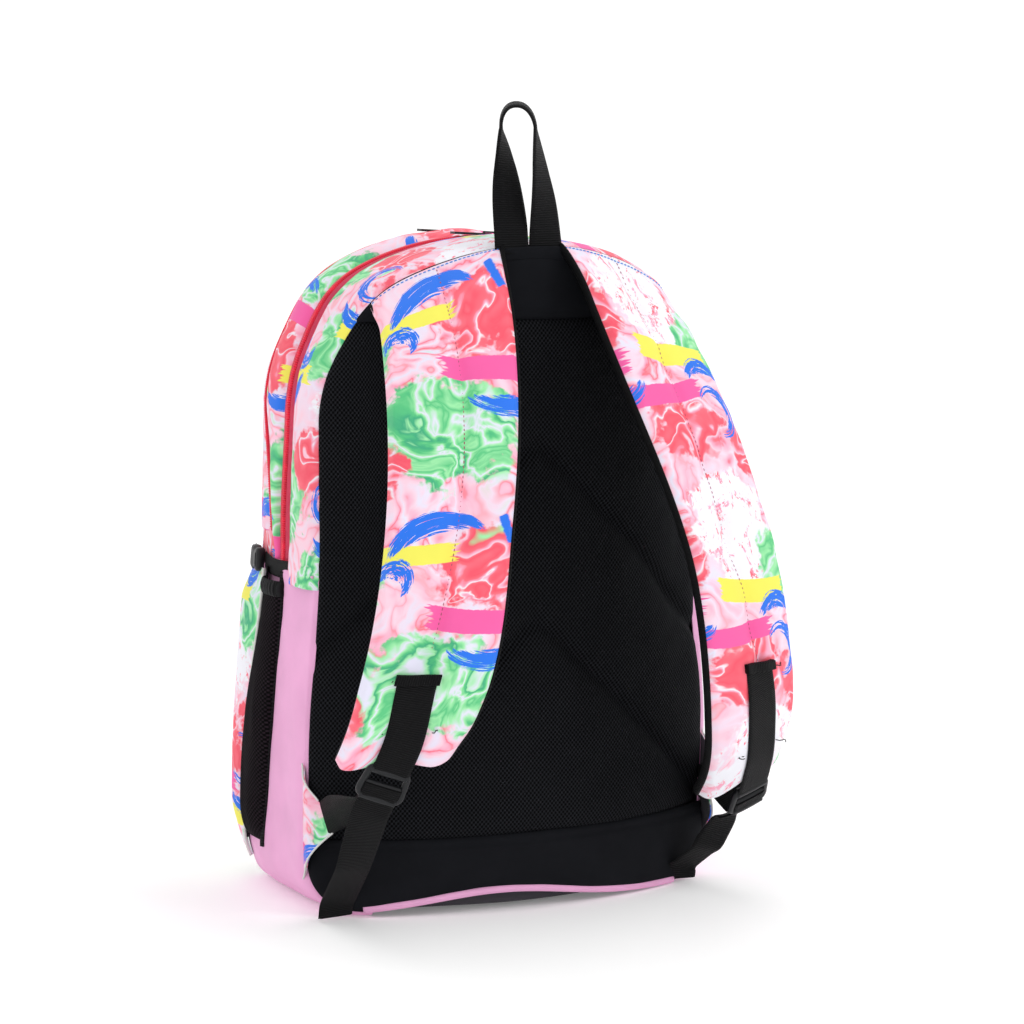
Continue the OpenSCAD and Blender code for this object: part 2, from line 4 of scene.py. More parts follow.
import bpy
import numpy as np
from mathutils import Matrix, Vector


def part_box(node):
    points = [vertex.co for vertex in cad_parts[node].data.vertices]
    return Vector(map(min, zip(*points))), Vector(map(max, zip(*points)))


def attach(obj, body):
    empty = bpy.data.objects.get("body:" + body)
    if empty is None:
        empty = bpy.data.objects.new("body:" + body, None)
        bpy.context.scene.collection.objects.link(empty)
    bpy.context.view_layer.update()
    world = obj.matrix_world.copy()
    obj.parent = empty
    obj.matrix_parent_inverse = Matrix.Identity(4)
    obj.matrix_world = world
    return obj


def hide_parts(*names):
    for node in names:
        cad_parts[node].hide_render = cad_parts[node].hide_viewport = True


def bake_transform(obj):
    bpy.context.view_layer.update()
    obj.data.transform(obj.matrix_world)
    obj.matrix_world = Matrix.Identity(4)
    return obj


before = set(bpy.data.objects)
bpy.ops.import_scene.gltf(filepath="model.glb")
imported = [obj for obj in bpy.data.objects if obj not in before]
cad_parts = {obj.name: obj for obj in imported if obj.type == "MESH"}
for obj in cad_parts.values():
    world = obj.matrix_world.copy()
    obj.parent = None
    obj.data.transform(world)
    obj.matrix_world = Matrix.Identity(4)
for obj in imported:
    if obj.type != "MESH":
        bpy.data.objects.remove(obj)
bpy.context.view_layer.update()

MM = 0.001


# ---------------------------------------------------------------- sizes from the frame

def low(node):
    """The least corner of a CAD node's box."""
    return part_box(node)[0]


def high(node):
    """The greatest corner of a CAD node's box."""
    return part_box(node)[1]


HALF_W = high("main_gusset").x
TOP = high("main_gusset").z
SIDE_Z = low("main_gusset").z
FOLD_Z = (high("divider_lower").z + low("divider_upper").z) / 2
Y_SKIN = low("back_mesh_panel").y
Y_SEAM = low("side_panel_left").y
Y_ZIP1 = (high("main_zip_back").y + low("main_zip_front").y) / 2
Y_ZIP2 = (high("second_zip_back").y + low("second_zip_front").y) / 2
Y_FRONT = high("front_panel").y
BAND_Z = high("back_lower_band").z
YOKE_Z = low("back_yoke").z
CROWN_R = 200 * MM
SHOULDER_R = 110 * MM
FOOT_R = 35 * MM
CROWN_Z = TOP - CROWN_R
SHOULDER_X = HALF_W - SHOULDER_R
SHOULDER_Z = CROWN_Z + math.sqrt((CROWN_R - SHOULDER_R) ** 2 - SHOULDER_X ** 2)
BULGE = Y_SEAM - Y_SKIN
BACK_R = (HALF_W ** 2 + BULGE ** 2) / (2 * BULGE)
BACK_Y = Y_SKIN + BACK_R
WEBBING_W = 25 * MM
CLOTH_T = 0.9 * MM
WORD = {-1: "left", 1: "right"}


# ---------------------------------------------------------------- numbers and noise

def smooth(x, a=0.0, b=1.0):
    """0 below a, 1 above b and an S-curve between them."""
    s = np.clip((np.asarray(x, float) - a) / (b - a), 0, 1)
    return s * s * (3 - 2 * s)


def bump(x, centre, width):
    """A bell curve of height 1 at centre."""
    return np.exp(-((np.asarray(x, float) - centre) / width) ** 2)


def lattice(i, j, k, seed):
    """A repeatable number between -1 and 1 for each point of a whole-number grid."""
    h = (i * 73856093) ^ (j * 19349663) ^ (k * 83492791) ^ (seed * 265443576)
    h = ((h ^ (h >> 13)) * 1274126177) & 0xFFFFFFFF
    return ((h ^ (h >> 16)) & 0xFFFF) / 32767.5 - 1


def value_noise(p, seed):
    """The lattice's numbers, smoothly interpolated at the points p."""
    base = np.floor(p).astype(np.int64)
    f = p - base
    f = f * f * (3 - 2 * f)
    total = 0
    for dx in (0, 1):
        for dy in (0, 1):
            for dz in (0, 1):
                w = ((f[..., 0] if dx else 1 - f[..., 0])
                     * (f[..., 1] if dy else 1 - f[..., 1])
                     * (f[..., 2] if dz else 1 - f[..., 2]))
                total = total + w * lattice(base[..., 0] + dx, base[..., 1] + dy, base[..., 2] + dz, seed)
    return total


def folds(p, size, seed=1, octaves=3, stretch=(1, 1, 1)):
    """Smooth noise between about -1 and 1 whose largest lumps are size metres across."""
    q = np.asarray(p, float) * np.array(stretch) / size
    total, weight = 0, 1.0
    for n in range(octaves):
        total = total + weight * value_noise(q * 2 ** n + 17.3 * n, seed + n)
        weight *= 0.5
    return total


def squared(wave, power):
    """A sine or cosine whose curve is squarer (power below 1) but keeps its sign."""
    return np.sign(wave) * np.abs(wave) ** power


def unit(v):
    """The vectors v scaled to length 1."""
    return v / np.maximum(np.linalg.norm(v, axis=-1, keepdims=True), 1e-12)


def run_length(path):
    """Length along a path at each of its points."""
    return np.concatenate([[0], np.cumsum(np.linalg.norm(np.diff(path, axis=0), axis=1))])


def resample(path, n):
    """n points at even spacing along a path."""
    s = run_length(path)
    q = np.linspace(0, s[-1], n)
    return np.stack([np.interp(q, s, path[:, k]) for k in range(3)], -1)


def spread(*arrays):
    """The arrays brought to one common shape."""
    return [np.array(a) for a in np.broadcast_arrays(*arrays)]


def stack(*parts):
    """Points or UVs from their coordinates, whatever shapes those have."""
    return np.stack(np.broadcast_arrays(*parts), -1)


# ---------------------------------------------------------------- the arched outline

def arch_samples():
    """Points and normals of the right half of the arch, from the crown to the middle of the base."""
    tilt = math.asin(SHOULDER_X / (CROWN_R - SHOULDER_R))
    foot_x = HALF_W - FOOT_R
    rows = []

    def arc(x, z, radius, start, end, count):
        for a in np.linspace(start, end, count, endpoint=False):
            rows.append((x + radius * math.sin(a), z + radius * math.cos(a), math.sin(a), math.cos(a)))

    arc(0, CROWN_Z, CROWN_R, 0, tilt, 80)
    arc(SHOULDER_X, SHOULDER_Z, SHOULDER_R, tilt, math.pi / 2, 120)
    rows += [(HALF_W, z, 1, 0) for z in np.linspace(SHOULDER_Z, FOOT_R, 60, endpoint=False)]
    arc(foot_x, FOOT_R, FOOT_R, math.pi / 2, math.pi, 50)
    rows += [(x, 0, 0, -1) for x in np.linspace(foot_x, 0, 30)]
    rows = np.array(rows)
    return run_length(rows[:, :2]), rows


ARCH_T, ARCH_ROWS = arch_samples()


def arch(t, grow=0.0):
    """x and z of the arch at length t from the crown (negative on the left), moved out by grow."""
    t = np.asarray(t, float)
    x, z, nx, nz = (np.interp(np.abs(t), ARCH_T, ARCH_ROWS[:, k]) for k in range(4))
    s = np.where(t < 0, -1, 1)
    return s * (x + nx * grow), z + nz * grow


def arch_t(z):
    """Length from the crown down to height z on the side."""
    side = ARCH_ROWS[:, 3] > -0.999
    return float(np.interp(-z, -ARCH_ROWS[side, 1], ARCH_T[side]))


def rise(radius, offset):
    """Height of a circle of this radius above its centre, offset sideways from it."""
    return np.sqrt(np.maximum(radius ** 2 - np.asarray(offset, float) ** 2, 0))


def arch_top(x):
    """Height of the arch above x."""
    x = np.abs(np.asarray(x, float))
    join = CROWN_R * SHOULDER_X / (CROWN_R - SHOULDER_R)
    shoulder = SHOULDER_Z + rise(SHOULDER_R, np.maximum(x - SHOULDER_X, 0))
    return np.where(x < join, CROWN_Z + rise(CROWN_R, x), shoulder)


def half_width(z):
    """Half the width of the arched outline at height z."""
    z = np.asarray(z, float)
    shoulder = SHOULDER_X + rise(SHOULDER_R, np.maximum(z - SHOULDER_Z, 0))
    crown = rise(CROWN_R, np.maximum(z - CROWN_Z, 0))
    foot = HALF_W - FOOT_R + rise(FOOT_R, np.maximum(FOOT_R - z, 0))
    return np.minimum(np.where(z > SHOULDER_Z, np.minimum(shoulder, np.maximum(crown, 1 * MM)), HALF_W), foot)


def back_y(x):
    """y of the rounded back at x."""
    return BACK_Y - rise(BACK_R, x)


# ---------------------------------------------------------------- meshes

def settle(points):
    """The soft outline of the filled bag: drawn in at the sides, with rounded front corners."""
    waist_in, corner_back, crown_sag, front_taper = 9 * MM, 8 * MM, 11 * MM, 0.08
    x, y, z = points.T
    outer = smooth(np.abs(x), 50 * MM, 140 * MM)
    crown = smooth(z, 380 * MM, 450 * MM)
    waist = waist_in * smooth(z, 100 * MM, 250 * MM) * (1 - crown)
    waist = waist * outer * smooth(y, Y_SEAM - 34 * MM, Y_SEAM - 16 * MM)
    front = np.clip((y + 5 * MM) / (65 * MM), 0, 1.25)
    share = 0.5 + 0.5 * smooth(z, 180 * MM, 300 * MM) + 0.5 * smooth(z, 340 * MM, 440 * MM)
    taper = front_taper * share * front ** 2 * x * smooth(z, 0, 20 * MM)
    sag = crown_sag * np.clip((y - Y_ZIP2) / (22 * MM), 0, 1) ** 2 * crown
    return stack(x - np.sign(x) * waist - taper, y - corner_back * outer * front, z - sag)


def new_object(name, mesh, body=None, settles=True):
    """An object in the scene that rides on body, its mesh settled to the bag's soft outline."""
    if settles:
        points = np.zeros(len(mesh.vertices) * 3)
        mesh.vertices.foreach_get("co", points)
        mesh.vertices.foreach_set("co", settle(points.reshape(-1, 3)).ravel())
        mesh.update()
    obj = bpy.data.objects.new(name, mesh)
    bpy.context.scene.collection.objects.link(obj)
    if body:
        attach(obj, body)
    return obj


def mesh_from(name, verts, faces, materials, corner_uv=None):
    """A smooth-shaded mesh with one UV map, in metres of cloth."""
    mesh = bpy.data.meshes.new(name)
    mesh.from_pydata(np.asarray(verts, float).tolist(), [], faces)
    layer = mesh.uv_layers.new(name="fabric")
    if corner_uv is not None:
        layer.data.foreach_set("uv", np.asarray(corner_uv, np.float32).ravel())
    for material in materials:
        mesh.materials.append(material)
    mesh.polygons.foreach_set("use_smooth", np.ones(len(mesh.polygons), bool))
    mesh.update()
    return mesh


def grid_cells(nu, nv, wrap_u=False, wrap_v=False):
    """Corner indices (u, v) of every cell of a grid, four per cell, before wrapping."""
    nu, nv = nu - (not wrap_u), nv - (not wrap_v)
    iu, iv = np.divmod(np.arange(nu * nv), nv)
    return np.stack([stack(iu, iv), stack(iu + 1, iv), stack(iu + 1, iv + 1), stack(iu, iv + 1)], 1)


def grid_mesh(name, points, uv, materials, flip=False):
    """Mesh of a grid of points (nu, nv, 3), with its UVs (nu, nv, 2) in metres."""
    nu, nv = points.shape[:2]
    cells = grid_cells(nu, nv)
    if flip:
        cells = cells[:, ::-1]
    faces = cells[..., 0] * nv + cells[..., 1]
    return mesh_from(name, points.reshape(-1, 3), faces.tolist(), materials, uv[cells[..., 0], cells[..., 1]])


def mark(obj, slot, *nodes):
    """Hides the CAD nodes that a piece stands for and returns the piece. The slot is not used."""
    if nodes:
        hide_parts(*nodes)
    return obj


def sheet(name, points, uv, material, lining=None, body=None, flip=False, thickness=CLOTH_T):
    """A sewn cloth panel: a subdivided grid with thickness, whose inner face can be lining."""
    materials = [material, lining] if lining else [material]
    obj = new_object(name, grid_mesh(name, points, uv, materials, flip), body)
    solid = obj.modifiers.new("Thickness", "SOLIDIFY")
    solid.thickness = thickness
    solid.offset = -1
    solid.use_even_offset = False
    if lining:
        solid.material_offset = 1
        solid.material_offset_rim = 0
    smoother = obj.modifiers.new("Subdivision", "SUBSURF")
    smoother.levels = 1
    smoother.render_levels = 1
    return obj


def ring_faces(rings, corners, closed=False):
    """Faces and grid cells of a skin over rings of corners; an open one gets an end face at each end."""
    cells = grid_cells(rings, corners, wrap_u=closed, wrap_v=True)
    faces = ((cells[..., 0] % rings) * corners + cells[..., 1] % corners).tolist()
    if not closed:
        faces.append(list(range(corners)))
        faces.append([(rings - 1) * corners + k for k in range(corners)][::-1])
    return faces, cells


def tube(name, path, radius, material, body=None, sides=10, closed=False, flat=1.0):
    """A round cord along a path; flat squeezes it across the path's second normal."""
    path = np.asarray(path, float)
    n = len(path)
    tangent = unit(np.roll(path, -1, 0) - np.roll(path, 1, 0)) if closed else unit(np.gradient(path, axis=0))
    side = np.zeros_like(path)
    ref = np.array([0.0, 0.0, 1.0]) if abs(tangent[0][2]) < 0.9 else np.array([1.0, 0.0, 0.0])
    for i in range(n):
        ref = ref - tangent[i] * (ref @ tangent[i])
        ref = ref / np.linalg.norm(ref)
        side[i] = ref
    other = np.cross(tangent, side)
    a = np.linspace(0, 2 * math.pi, sides, endpoint=False)
    ring = side[:, None] * np.cos(a)[None, :, None] + other[:, None] * (flat * np.sin(a))[None, :, None]
    r = np.broadcast_to(np.asarray(radius, float), (n,))
    points = path[:, None] + ring * r[:, None, None]
    length = run_length(path)
    faces, cells = ring_faces(n, sides, closed)
    uv = np.zeros((n + 1, sides + 1, 2))
    uv[..., 0] = np.linspace(0, 2 * math.pi * float(np.max(r)), sides + 1)[None]
    uv[..., 1] = np.append(length, length[-1] + 1 * MM)[:, None]
    corner_uv = list(uv[cells[..., 0], cells[..., 1]].reshape(-1, 2))
    if not closed:
        corner_uv += [(0, 0)] * (2 * sides)
    return new_object(name, mesh_from(name, points.reshape(-1, 3), faces, [material], corner_uv), body)


def strips(name, frames, section, material, body=None):
    """A swept solid. frames is (centre, across, outwards) arrays, section is an (m, 2) outline."""
    c, w, n = frames
    section = np.asarray(section, float)
    points = c[:, None] + w[:, None] * section[None, :, 0, None] + n[:, None] * section[None, :, 1, None]
    length = run_length(c)
    m = len(section)
    faces, cells = ring_faces(len(c), m)
    uv = np.zeros((len(c), m + 1, 2))
    uv[..., 0] = np.append(section[:, 0], section[0, 0])[None]
    uv[..., 1] = length[:, None]
    corner_uv = list(uv[cells[..., 0], cells[..., 1]].reshape(-1, 2))
    corner_uv += [(across, 0) for across in section[:, 0]]
    corner_uv += [(across, length[-1]) for across in section[::-1, 0]]
    return new_object(name, mesh_from(name, points.reshape(-1, 3), faces, [material], corner_uv), body)


def flat_webbing(name, centre, across, outwards, width, thickness, material, body):
    """A length of webbing that doesn't twist: across and outwards are the same all along it."""
    w, n = (np.tile(unit(np.array(v, float)), (len(centre), 1)) for v in (across, outwards))
    return strips(name, (centre, w, n), webbing_section(width, thickness), material, body)


def block_faces(start, rings, corners):
    """Faces round a small block of rings of corners, whose first point is number start."""
    faces = []
    for r in range(start, start + (rings - 1) * corners, corners):
        for c in range(corners):
            d = (c + 1) % corners
            faces.append((r + c, r + d, r + corners + d, r + corners + c))
    return faces


def webbing_section(width=WEBBING_W, thickness=2 * MM):
    """Outline of a woven band with rounded edges."""
    x = np.linspace(-width / 2, width / 2, 14)
    edge = np.sqrt(np.clip(1 - (np.abs(x) / (width / 2)) ** 14, 0.02, 1))
    half = thickness / 2 * edge
    top = np.stack([x, half], 1)
    under = np.stack([x[::-1], -half[::-1]], 1)
    return np.concatenate([under, top])


def join_meshes(name, parts, body):
    """One object made of several meshes that share a material."""
    verts, faces = [], []
    material = parts[0].data.materials[0]
    for part in parts:
        start = len(verts)
        verts += [tuple(v.co) for v in part.data.vertices]
        faces += [tuple(start + k for k in poly.vertices) for poly in part.data.polygons]
        bpy.data.objects.remove(part)
    return new_object(name, mesh_from(name, verts, faces, [material]), body, settles=False)


# ---------------------------------------------------------------- materials

def srgb(r, g, b):
    """A linear colour from 8-bit sRGB values."""
    shares = [c / 255 for c in (r, g, b)]
    return (*(c / 12.92 if c <= 0.04045 else ((c + 0.055) / 1.055) ** 2.4 for c in shares), 1)


class Shader:
    """A node material under construction. Its methods add a node and return the socket they make."""

    def __init__(self, name, roughness=0.7, specular=0.3, sheen=0.0):
        self.mat = bpy.data.materials.new(name)
        self.mat.use_nodes = True
        self.tree = self.mat.node_tree
        self.tree.nodes.clear()
        self.out = self.tree.nodes.new("ShaderNodeOutputMaterial")
        self.bsdf = self.tree.nodes.new("ShaderNodeBsdfPrincipled")
        self.tree.links.new(self.bsdf.outputs[0], self.out.inputs[0])
        self.set("Roughness", roughness)
        self.set("Specular IOR Level", specular)
        self.set("Sheen Weight", sheen)
        self.set("Sheen Roughness", 0.4)
        uv = self.tree.nodes.new("ShaderNodeUVMap")
        uv.uv_map = "fabric"
        scale = self.tree.nodes.new("ShaderNodeVectorMath")
        scale.operation = "SCALE"
        scale.inputs["Scale"].default_value = 1000
        self.tree.links.new(uv.outputs[0], scale.inputs[0])
        self.mm = scale.outputs[0]
        split = self.tree.nodes.new("ShaderNodeSeparateXYZ")
        self.tree.links.new(self.mm, split.inputs[0])
        self.u, self.v = split.outputs[0], split.outputs[1]

    def feed(self, socket, value):
        """Links a socket to an input, or sets the input to a plain value."""
        if isinstance(value, bpy.types.NodeSocket):
            self.tree.links.new(value, socket)
        elif value is not None:
            socket.default_value = value

    def set(self, name, value):
        """Feeds one input of the surface shader."""
        self.feed(self.bsdf.inputs[name], value)

    def math(self, op, a, b=None, c=None):
        """One step of arithmetic."""
        n = self.tree.nodes.new("ShaderNodeMath")
        n.operation = op
        for k, value in enumerate((a, b, c)):
            self.feed(n.inputs[k], value)
        return n.outputs[0]

    def add(self, a, b):
        return self.math("ADD", a, b)

    def sub(self, a, b):
        return self.math("SUBTRACT", a, b)

    def mul(self, a, b):
        return self.math("MULTIPLY", a, b)

    def xyz(self, x, y, z=0.0):
        """A vector from its three parts."""
        n = self.tree.nodes.new("ShaderNodeCombineXYZ")
        for k, value in enumerate((x, y, z)):
            self.feed(n.inputs[k], value)
        return n.outputs[0]

    def moved(self, vector, offset, amount):
        """vector plus amount times offset."""
        n = self.tree.nodes.new("ShaderNodeVectorMath")
        n.operation = "MULTIPLY_ADD"
        self.feed(n.inputs[0], offset)
        n.inputs[1].default_value = (amount, amount, amount)
        self.feed(n.inputs[2], vector)
        return n.outputs[0]

    def noise(self, vector, size, detail=3.0, rough=0.5, distortion=0.0, colour=False):
        """Noise whose lumps are about size millimetres across."""
        n = self.tree.nodes.new("ShaderNodeTexNoise")
        self.feed(n.inputs["Vector"], vector)
        n.inputs["Scale"].default_value = 1 / size
        n.inputs["Detail"].default_value = detail
        n.inputs["Roughness"].default_value = rough
        n.inputs["Distortion"].default_value = distortion
        return n.outputs["Color" if colour else "Fac"]

    def step(self, value, a, b):
        """0 where value is a, 1 where it is b and smooth between."""
        n = self.tree.nodes.new("ShaderNodeMapRange")
        n.interpolation_type = "SMOOTHSTEP"
        self.feed(n.inputs["Value"], value)
        n.inputs["From Min"].default_value = a
        n.inputs["From Max"].default_value = b
        return n.outputs["Result"]

    def ramp(self, value, stops):
        """Colours in linear steps between the stops, which are sorted (place, colour) pairs."""
        n = self.tree.nodes.new("ShaderNodeValToRGB")
        self.feed(n.inputs[0], value)
        elements = n.color_ramp.elements
        while len(elements) < len(stops):
            elements.new(1.0)
        for e, (place, colour) in zip(elements, stops):
            e.position = place
            e.color = colour
        return n.outputs[0]

    def mix(self, factor, a, b, mode="MIX"):
        """Colour a turning into b as factor rises."""
        n = self.tree.nodes.new("ShaderNodeMix")
        n.data_type = "RGBA"
        n.blend_type = mode
        self.feed(n.inputs["Factor"], factor)
        self.feed(n.inputs["A"], a)
        self.feed(n.inputs["B"], b)
        return n.outputs["Result"]

    def bump(self, height, distance, strength):
        """Raises the surface by height times distance."""
        n = self.tree.nodes.new("ShaderNodeBump")
        n.inputs["Distance"].default_value = distance
        n.inputs["Strength"].default_value = strength
        self.feed(n.inputs["Height"], height)
        self.set("Normal", n.outputs[0])

    def weave(self, pitch):
        """Height of a plain weave with threads pitch millimetres apart."""
        a = self.math("SINE", self.mul(self.u, 2 * math.pi / pitch))
        b = self.math("SINE", self.mul(self.v, 2 * math.pi / pitch))
        return self.mul(a, b)

    def diamonds(self, wide, tall):
        """Height of a lattice of threads that cross to leave diamond holes, in millimetres."""
        u, v = self.mul(self.u, 1 / wide), self.mul(self.v, 1 / tall)
        a = self.math("SINE", self.mul(self.add(u, v), 2 * math.pi))
        b = self.math("SINE", self.mul(self.sub(u, v), 2 * math.pi))
        return self.add(a, b)

    def worn(self, colour, amount=0.12, size=60):
        """colour, a little lighter and darker in broad patches."""
        n = self.noise(self.mm, size, 4)
        shade = self.ramp(n, [(0.3, (1 - amount,) * 3 + (1,)), (0.7, (1 + amount,) * 3 + (1,))])
        return self.mix(1.0, colour, shade, "MULTIPLY")


CORAL = srgb(252, 112, 128)
DEEP_CORAL = srgb(246, 88, 108)
SOFT_PINK = srgb(251, 172, 198)
PALE_PINK = srgb(252, 208, 224)
LILAC_WHITE = srgb(232, 230, 248)
WHITE = srgb(244, 243, 250)
MINT = srgb(160, 235, 172)
LEAF = srgb(92, 200, 132)
TEAL = srgb(64, 172, 128)
BLUE = srgb(40, 118, 236)
YELLOW = srgb(244, 238, 96)
HOT_PINK = srgb(246, 98, 168)

PRINT_W = 190.0
PRINT_H = 162.0


def printed_cloth(name, u0=0.0, v0=0.0):
    """Generic marbled print with brushed bars and arcs, repeating every PRINT_W by PRINT_H millimetres."""
    s = Shader(name, roughness=0.6, specular=0.25, sheen=0.05)
    u, v = s.add(s.u, u0), s.add(s.v, v0)
    place = s.xyz(u, v)
    drift = s.noise(place, 52, 1.0, 0.5, colour=True)
    curl = s.noise(place, 17, 1.5, 0.5, colour=True)
    warped = s.moved(s.moved(place, drift, 120), curl, 17)
    ragged = s.sub(s.noise(place, 3.2, 3, 0.6), 0.5)
    coarse = s.sub(s.noise(place, 20, 3, 0.6), 0.5)

    def local(cu, cv, turn=0.0):
        """Coordinates about a motif's centre, repeating with the print."""
        du = s.math("WRAP", s.sub(u, cu), PRINT_W / 2, -PRINT_W / 2)
        dv = s.math("WRAP", s.sub(v, cv), PRINT_H / 2, -PRINT_H / 2)
        if not turn:
            return du, dv
        c, k = math.cos(math.radians(turn)), math.sin(math.radians(turn))
        return s.add(s.mul(du, c), s.mul(dv, k)), s.sub(s.mul(dv, c), s.mul(du, k))

    def region(cu, cv, hu, hv, soft=0.2):
        """A rough-edged patch of the print's ground."""
        du, dv = local(cu, cv)
        d = s.add(s.math("POWER", s.math("ABSOLUTE", s.mul(du, 1 / hu)), 2.0),
                  s.math("POWER", s.math("ABSOLUTE", s.mul(dv, 1 / hv)), 2.0))
        return s.step(s.add(s.add(d, s.mul(coarse, 3.2)), s.mul(ragged, 0.7)), 1.05 + soft, 1.05 - soft)

    def bar(cu, cv, hu, hv, turn=0.0, torn=30):
        """A brushed bar with clean long sides, torn at its left end."""
        du, dv = local(cu, cv, turn)
        dv = s.add(dv, s.mul(s.mul(du, du), 0.0022))
        bristle = s.sub(s.noise(s.xyz(s.mul(du, 0.05), dv), 2.6, 2, 0.7), 0.5)
        over_u = s.add(s.sub(s.math("ABSOLUTE", du), hu), s.mul(bristle, torn))
        over_v = s.add(s.sub(s.math("ABSOLUTE", dv), hv), s.mul(ragged, 1.6))
        return s.step(s.math("MAXIMUM", s.mul(over_u, 0.4), over_v), 0.3, -0.3)

    def brush_arc(cu, cv, radius, width, squash, middle, spread, turn=0.0, dry=1.0):
        """A dry-brush arc, fattest in the middle of its sweep: middle and spread are angles in degrees."""
        du, dv = local(cu, cv, turn)
        dv = s.mul(dv, squash)
        r = s.math("SQRT", s.add(s.mul(du, du), s.mul(dv, dv)))
        angle = s.math("ARCTAN2", dv, du)
        off = s.math("WRAP", s.sub(angle, math.radians(middle)), math.pi, -math.pi)
        share = s.mul(off, 1 / math.radians(spread))
        fat = s.mul(s.sub(1.25, s.mul(share, share)), width)
        streak = s.sub(s.noise(s.xyz(s.mul(angle, 1.3), s.mul(r, 0.9), cu), 1.15, 3, 0.7), 0.5)
        across = s.sub(r, s.sub(radius, s.mul(fat, 0.35)))
        band = s.add(s.sub(s.math("ABSOLUTE", across), fat), s.mul(ragged, 2.2))
        inside = s.add(band, s.mul(s.math("MAXIMUM", s.sub(streak, 0.02), 0.0), 46 * dry))
        ends = s.mul(s.sub(s.math("ABSOLUTE", off), math.radians(spread)), radius * 0.6)
        edge = s.math("MAXIMUM", inside, s.add(ends, s.mul(streak, 26)))
        return s.step(edge, 0.3, -0.3)

    swirl = s.noise(warped, 40, 1.6, 0.45, 0.35)
    fine = s.noise(warped, 13, 2.0, 0.5, 0.8)
    pink_marble = s.ramp(s.add(swirl, s.mul(s.sub(fine, 0.5), 0.10)), [
        (0.26, SOFT_PINK), (0.34, LILAC_WHITE), (0.40, PALE_PINK), (0.445, SOFT_PINK), (0.465, CORAL),
        (0.48, SOFT_PINK), (0.51, PALE_PINK), (0.55, LILAC_WHITE), (0.60, PALE_PINK), (0.635, SOFT_PINK),
        (0.65, CORAL), (0.70, LILAC_WHITE), (0.76, MINT)])
    coral_marble = s.ramp(s.add(swirl, s.mul(s.sub(fine, 0.5), 0.06)), [
        (0.28, CORAL), (0.38, DEEP_CORAL), (0.425, CORAL), (0.44, WHITE), (0.455, SOFT_PINK), (0.475, CORAL),
        (0.53, DEEP_CORAL), (0.56, CORAL), (0.575, PALE_PINK), (0.60, SOFT_PINK), (0.63, CORAL),
        (0.68, DEEP_CORAL), (0.72, MINT)])
    green_marble = s.ramp(s.add(swirl, s.mul(s.sub(fine, 0.5), 0.16)), [
        (0.28, LEAF), (0.37, MINT), (0.42, LEAF), (0.47, MINT), (0.51, LILAC_WHITE), (0.545, MINT),
        (0.59, LEAF), (0.63, TEAL), (0.66, MINT), (0.74, LILAC_WHITE)])
    brushed = s.noise(s.moved(s.xyz(u, s.mul(v, 0.45)), curl, 16), 6.5, 4, 0.75)
    speckled = s.mix(s.step(brushed, 0.565, 0.60), WHITE, s.mix(s.step(fine, 0.4, 0.6), SOFT_PINK, CORAL))

    faded = s.mix(0.55, pink_marble, PALE_PINK)
    colour = s.mix(s.step(s.noise(place, 60, 2), 0.42, 0.60), pink_marble, faded)
    for patch, ground in (((30, 47, 34, 26), coral_marble), ((-4, 122, 44, 34), green_marble),
                          ((96, 32, 36, 36), speckled), ((88, 128, 32, 22), coral_marble),
                          ((-60, 62, 20, 26), green_marble), ((-52, 146, 20, 20), coral_marble)):
        colour = s.mix(region(*patch), colour, ground)
    for stroke, shape, paint in ((bar, (25, 82, 30, 7.6, 3), HOT_PINK),
                                 (bar, (78, 104, 31, 6.6, -4), HOT_PINK),
                                 (bar, (-20, 40, 25, 6.2, -3), YELLOW),
                                 (bar, (98, 76, 30, 7.8, 4, 12), YELLOW),
                                 (brush_arc, (-2, 44, 35, 7.4, 1.25, -106, 60, -4, 1.15), BLUE),
                                 (bar, (37, 23, 3.0, 9.0, -24, 3), BLUE),
                                 (brush_arc, (-32, 57, 10, 5.0, 0.9, -70, 110, 0, 1.6), BLUE),
                                 (brush_arc, (34, 90, 27, 8.0, 1.45, 84, 66, 0, 1.4), BLUE),
                                 (brush_arc, (118, 98, 17, 5.0, 1.0, -120, 74, 30, 1.2), BLUE),
                                 (brush_arc, (-72, 118, 14, 3.4, 0.8, -20, 120, 0, 1.4), BLUE)):
        colour = s.mix(stroke(*shape), colour, paint)

    s.set("Base Color", s.worn(colour, 0.03, 45))
    s.set("Roughness", s.add(s.mul(s.noise(s.mm, 22, 3), 0.14), 0.50))
    height = s.add(s.mul(s.weave(0.62), 0.06), s.mul(s.noise(s.mm, 7, 4, 0.6), 0.45))
    s.bump(height, 0.5 * MM, 0.6)
    return s.mat


def plain_cloth(name, colour, pitch=0.7, roughness=0.72, specular=0.22, sheen=0.1, shade=0.10, lump=0.45):
    """Woven polyester in one colour, with broad shading and a fine weave."""
    s = Shader(name, roughness, specular, sheen)
    s.set("Base Color", s.worn(colour, shade, 38))
    s.set("Roughness", s.add(s.mul(s.noise(s.mm, 16, 3), 0.16), roughness - 0.08))
    height = s.add(s.mul(s.weave(pitch), 0.12), s.mul(s.noise(s.mm, 9, 4, 0.55), lump))
    s.bump(height, 0.5 * MM, 0.8)
    return s.mat


def air_mesh(name):
    """Knitted spacer mesh: rows of small diamond holes in a black yarn, with painted shade in the holes."""
    s = Shader(name, 0.85, 0.06, 0.0)
    yarn = s.step(s.diamonds(2.9, 3.4), -0.9, 0.7)
    fibres = s.noise(s.mm, 0.9, 3, 0.7)
    # Painted shade: dark is the near-black put in the holes for the shade inside them; light is the yarn.
    dark, light = srgb(2, 2, 3), srgb(34, 35, 39)
    s.set("Base Color", s.worn(s.mix(s.mul(yarn, s.add(s.mul(fibres, 0.7), 0.55)), dark, light), 0.12, 50))
    s.set("Roughness", s.add(s.mul(yarn, -0.16), 0.86))
    s.bump(s.add(yarn, s.mul(fibres, 0.25)), 0.7 * MM, 0.9)
    return s.mat


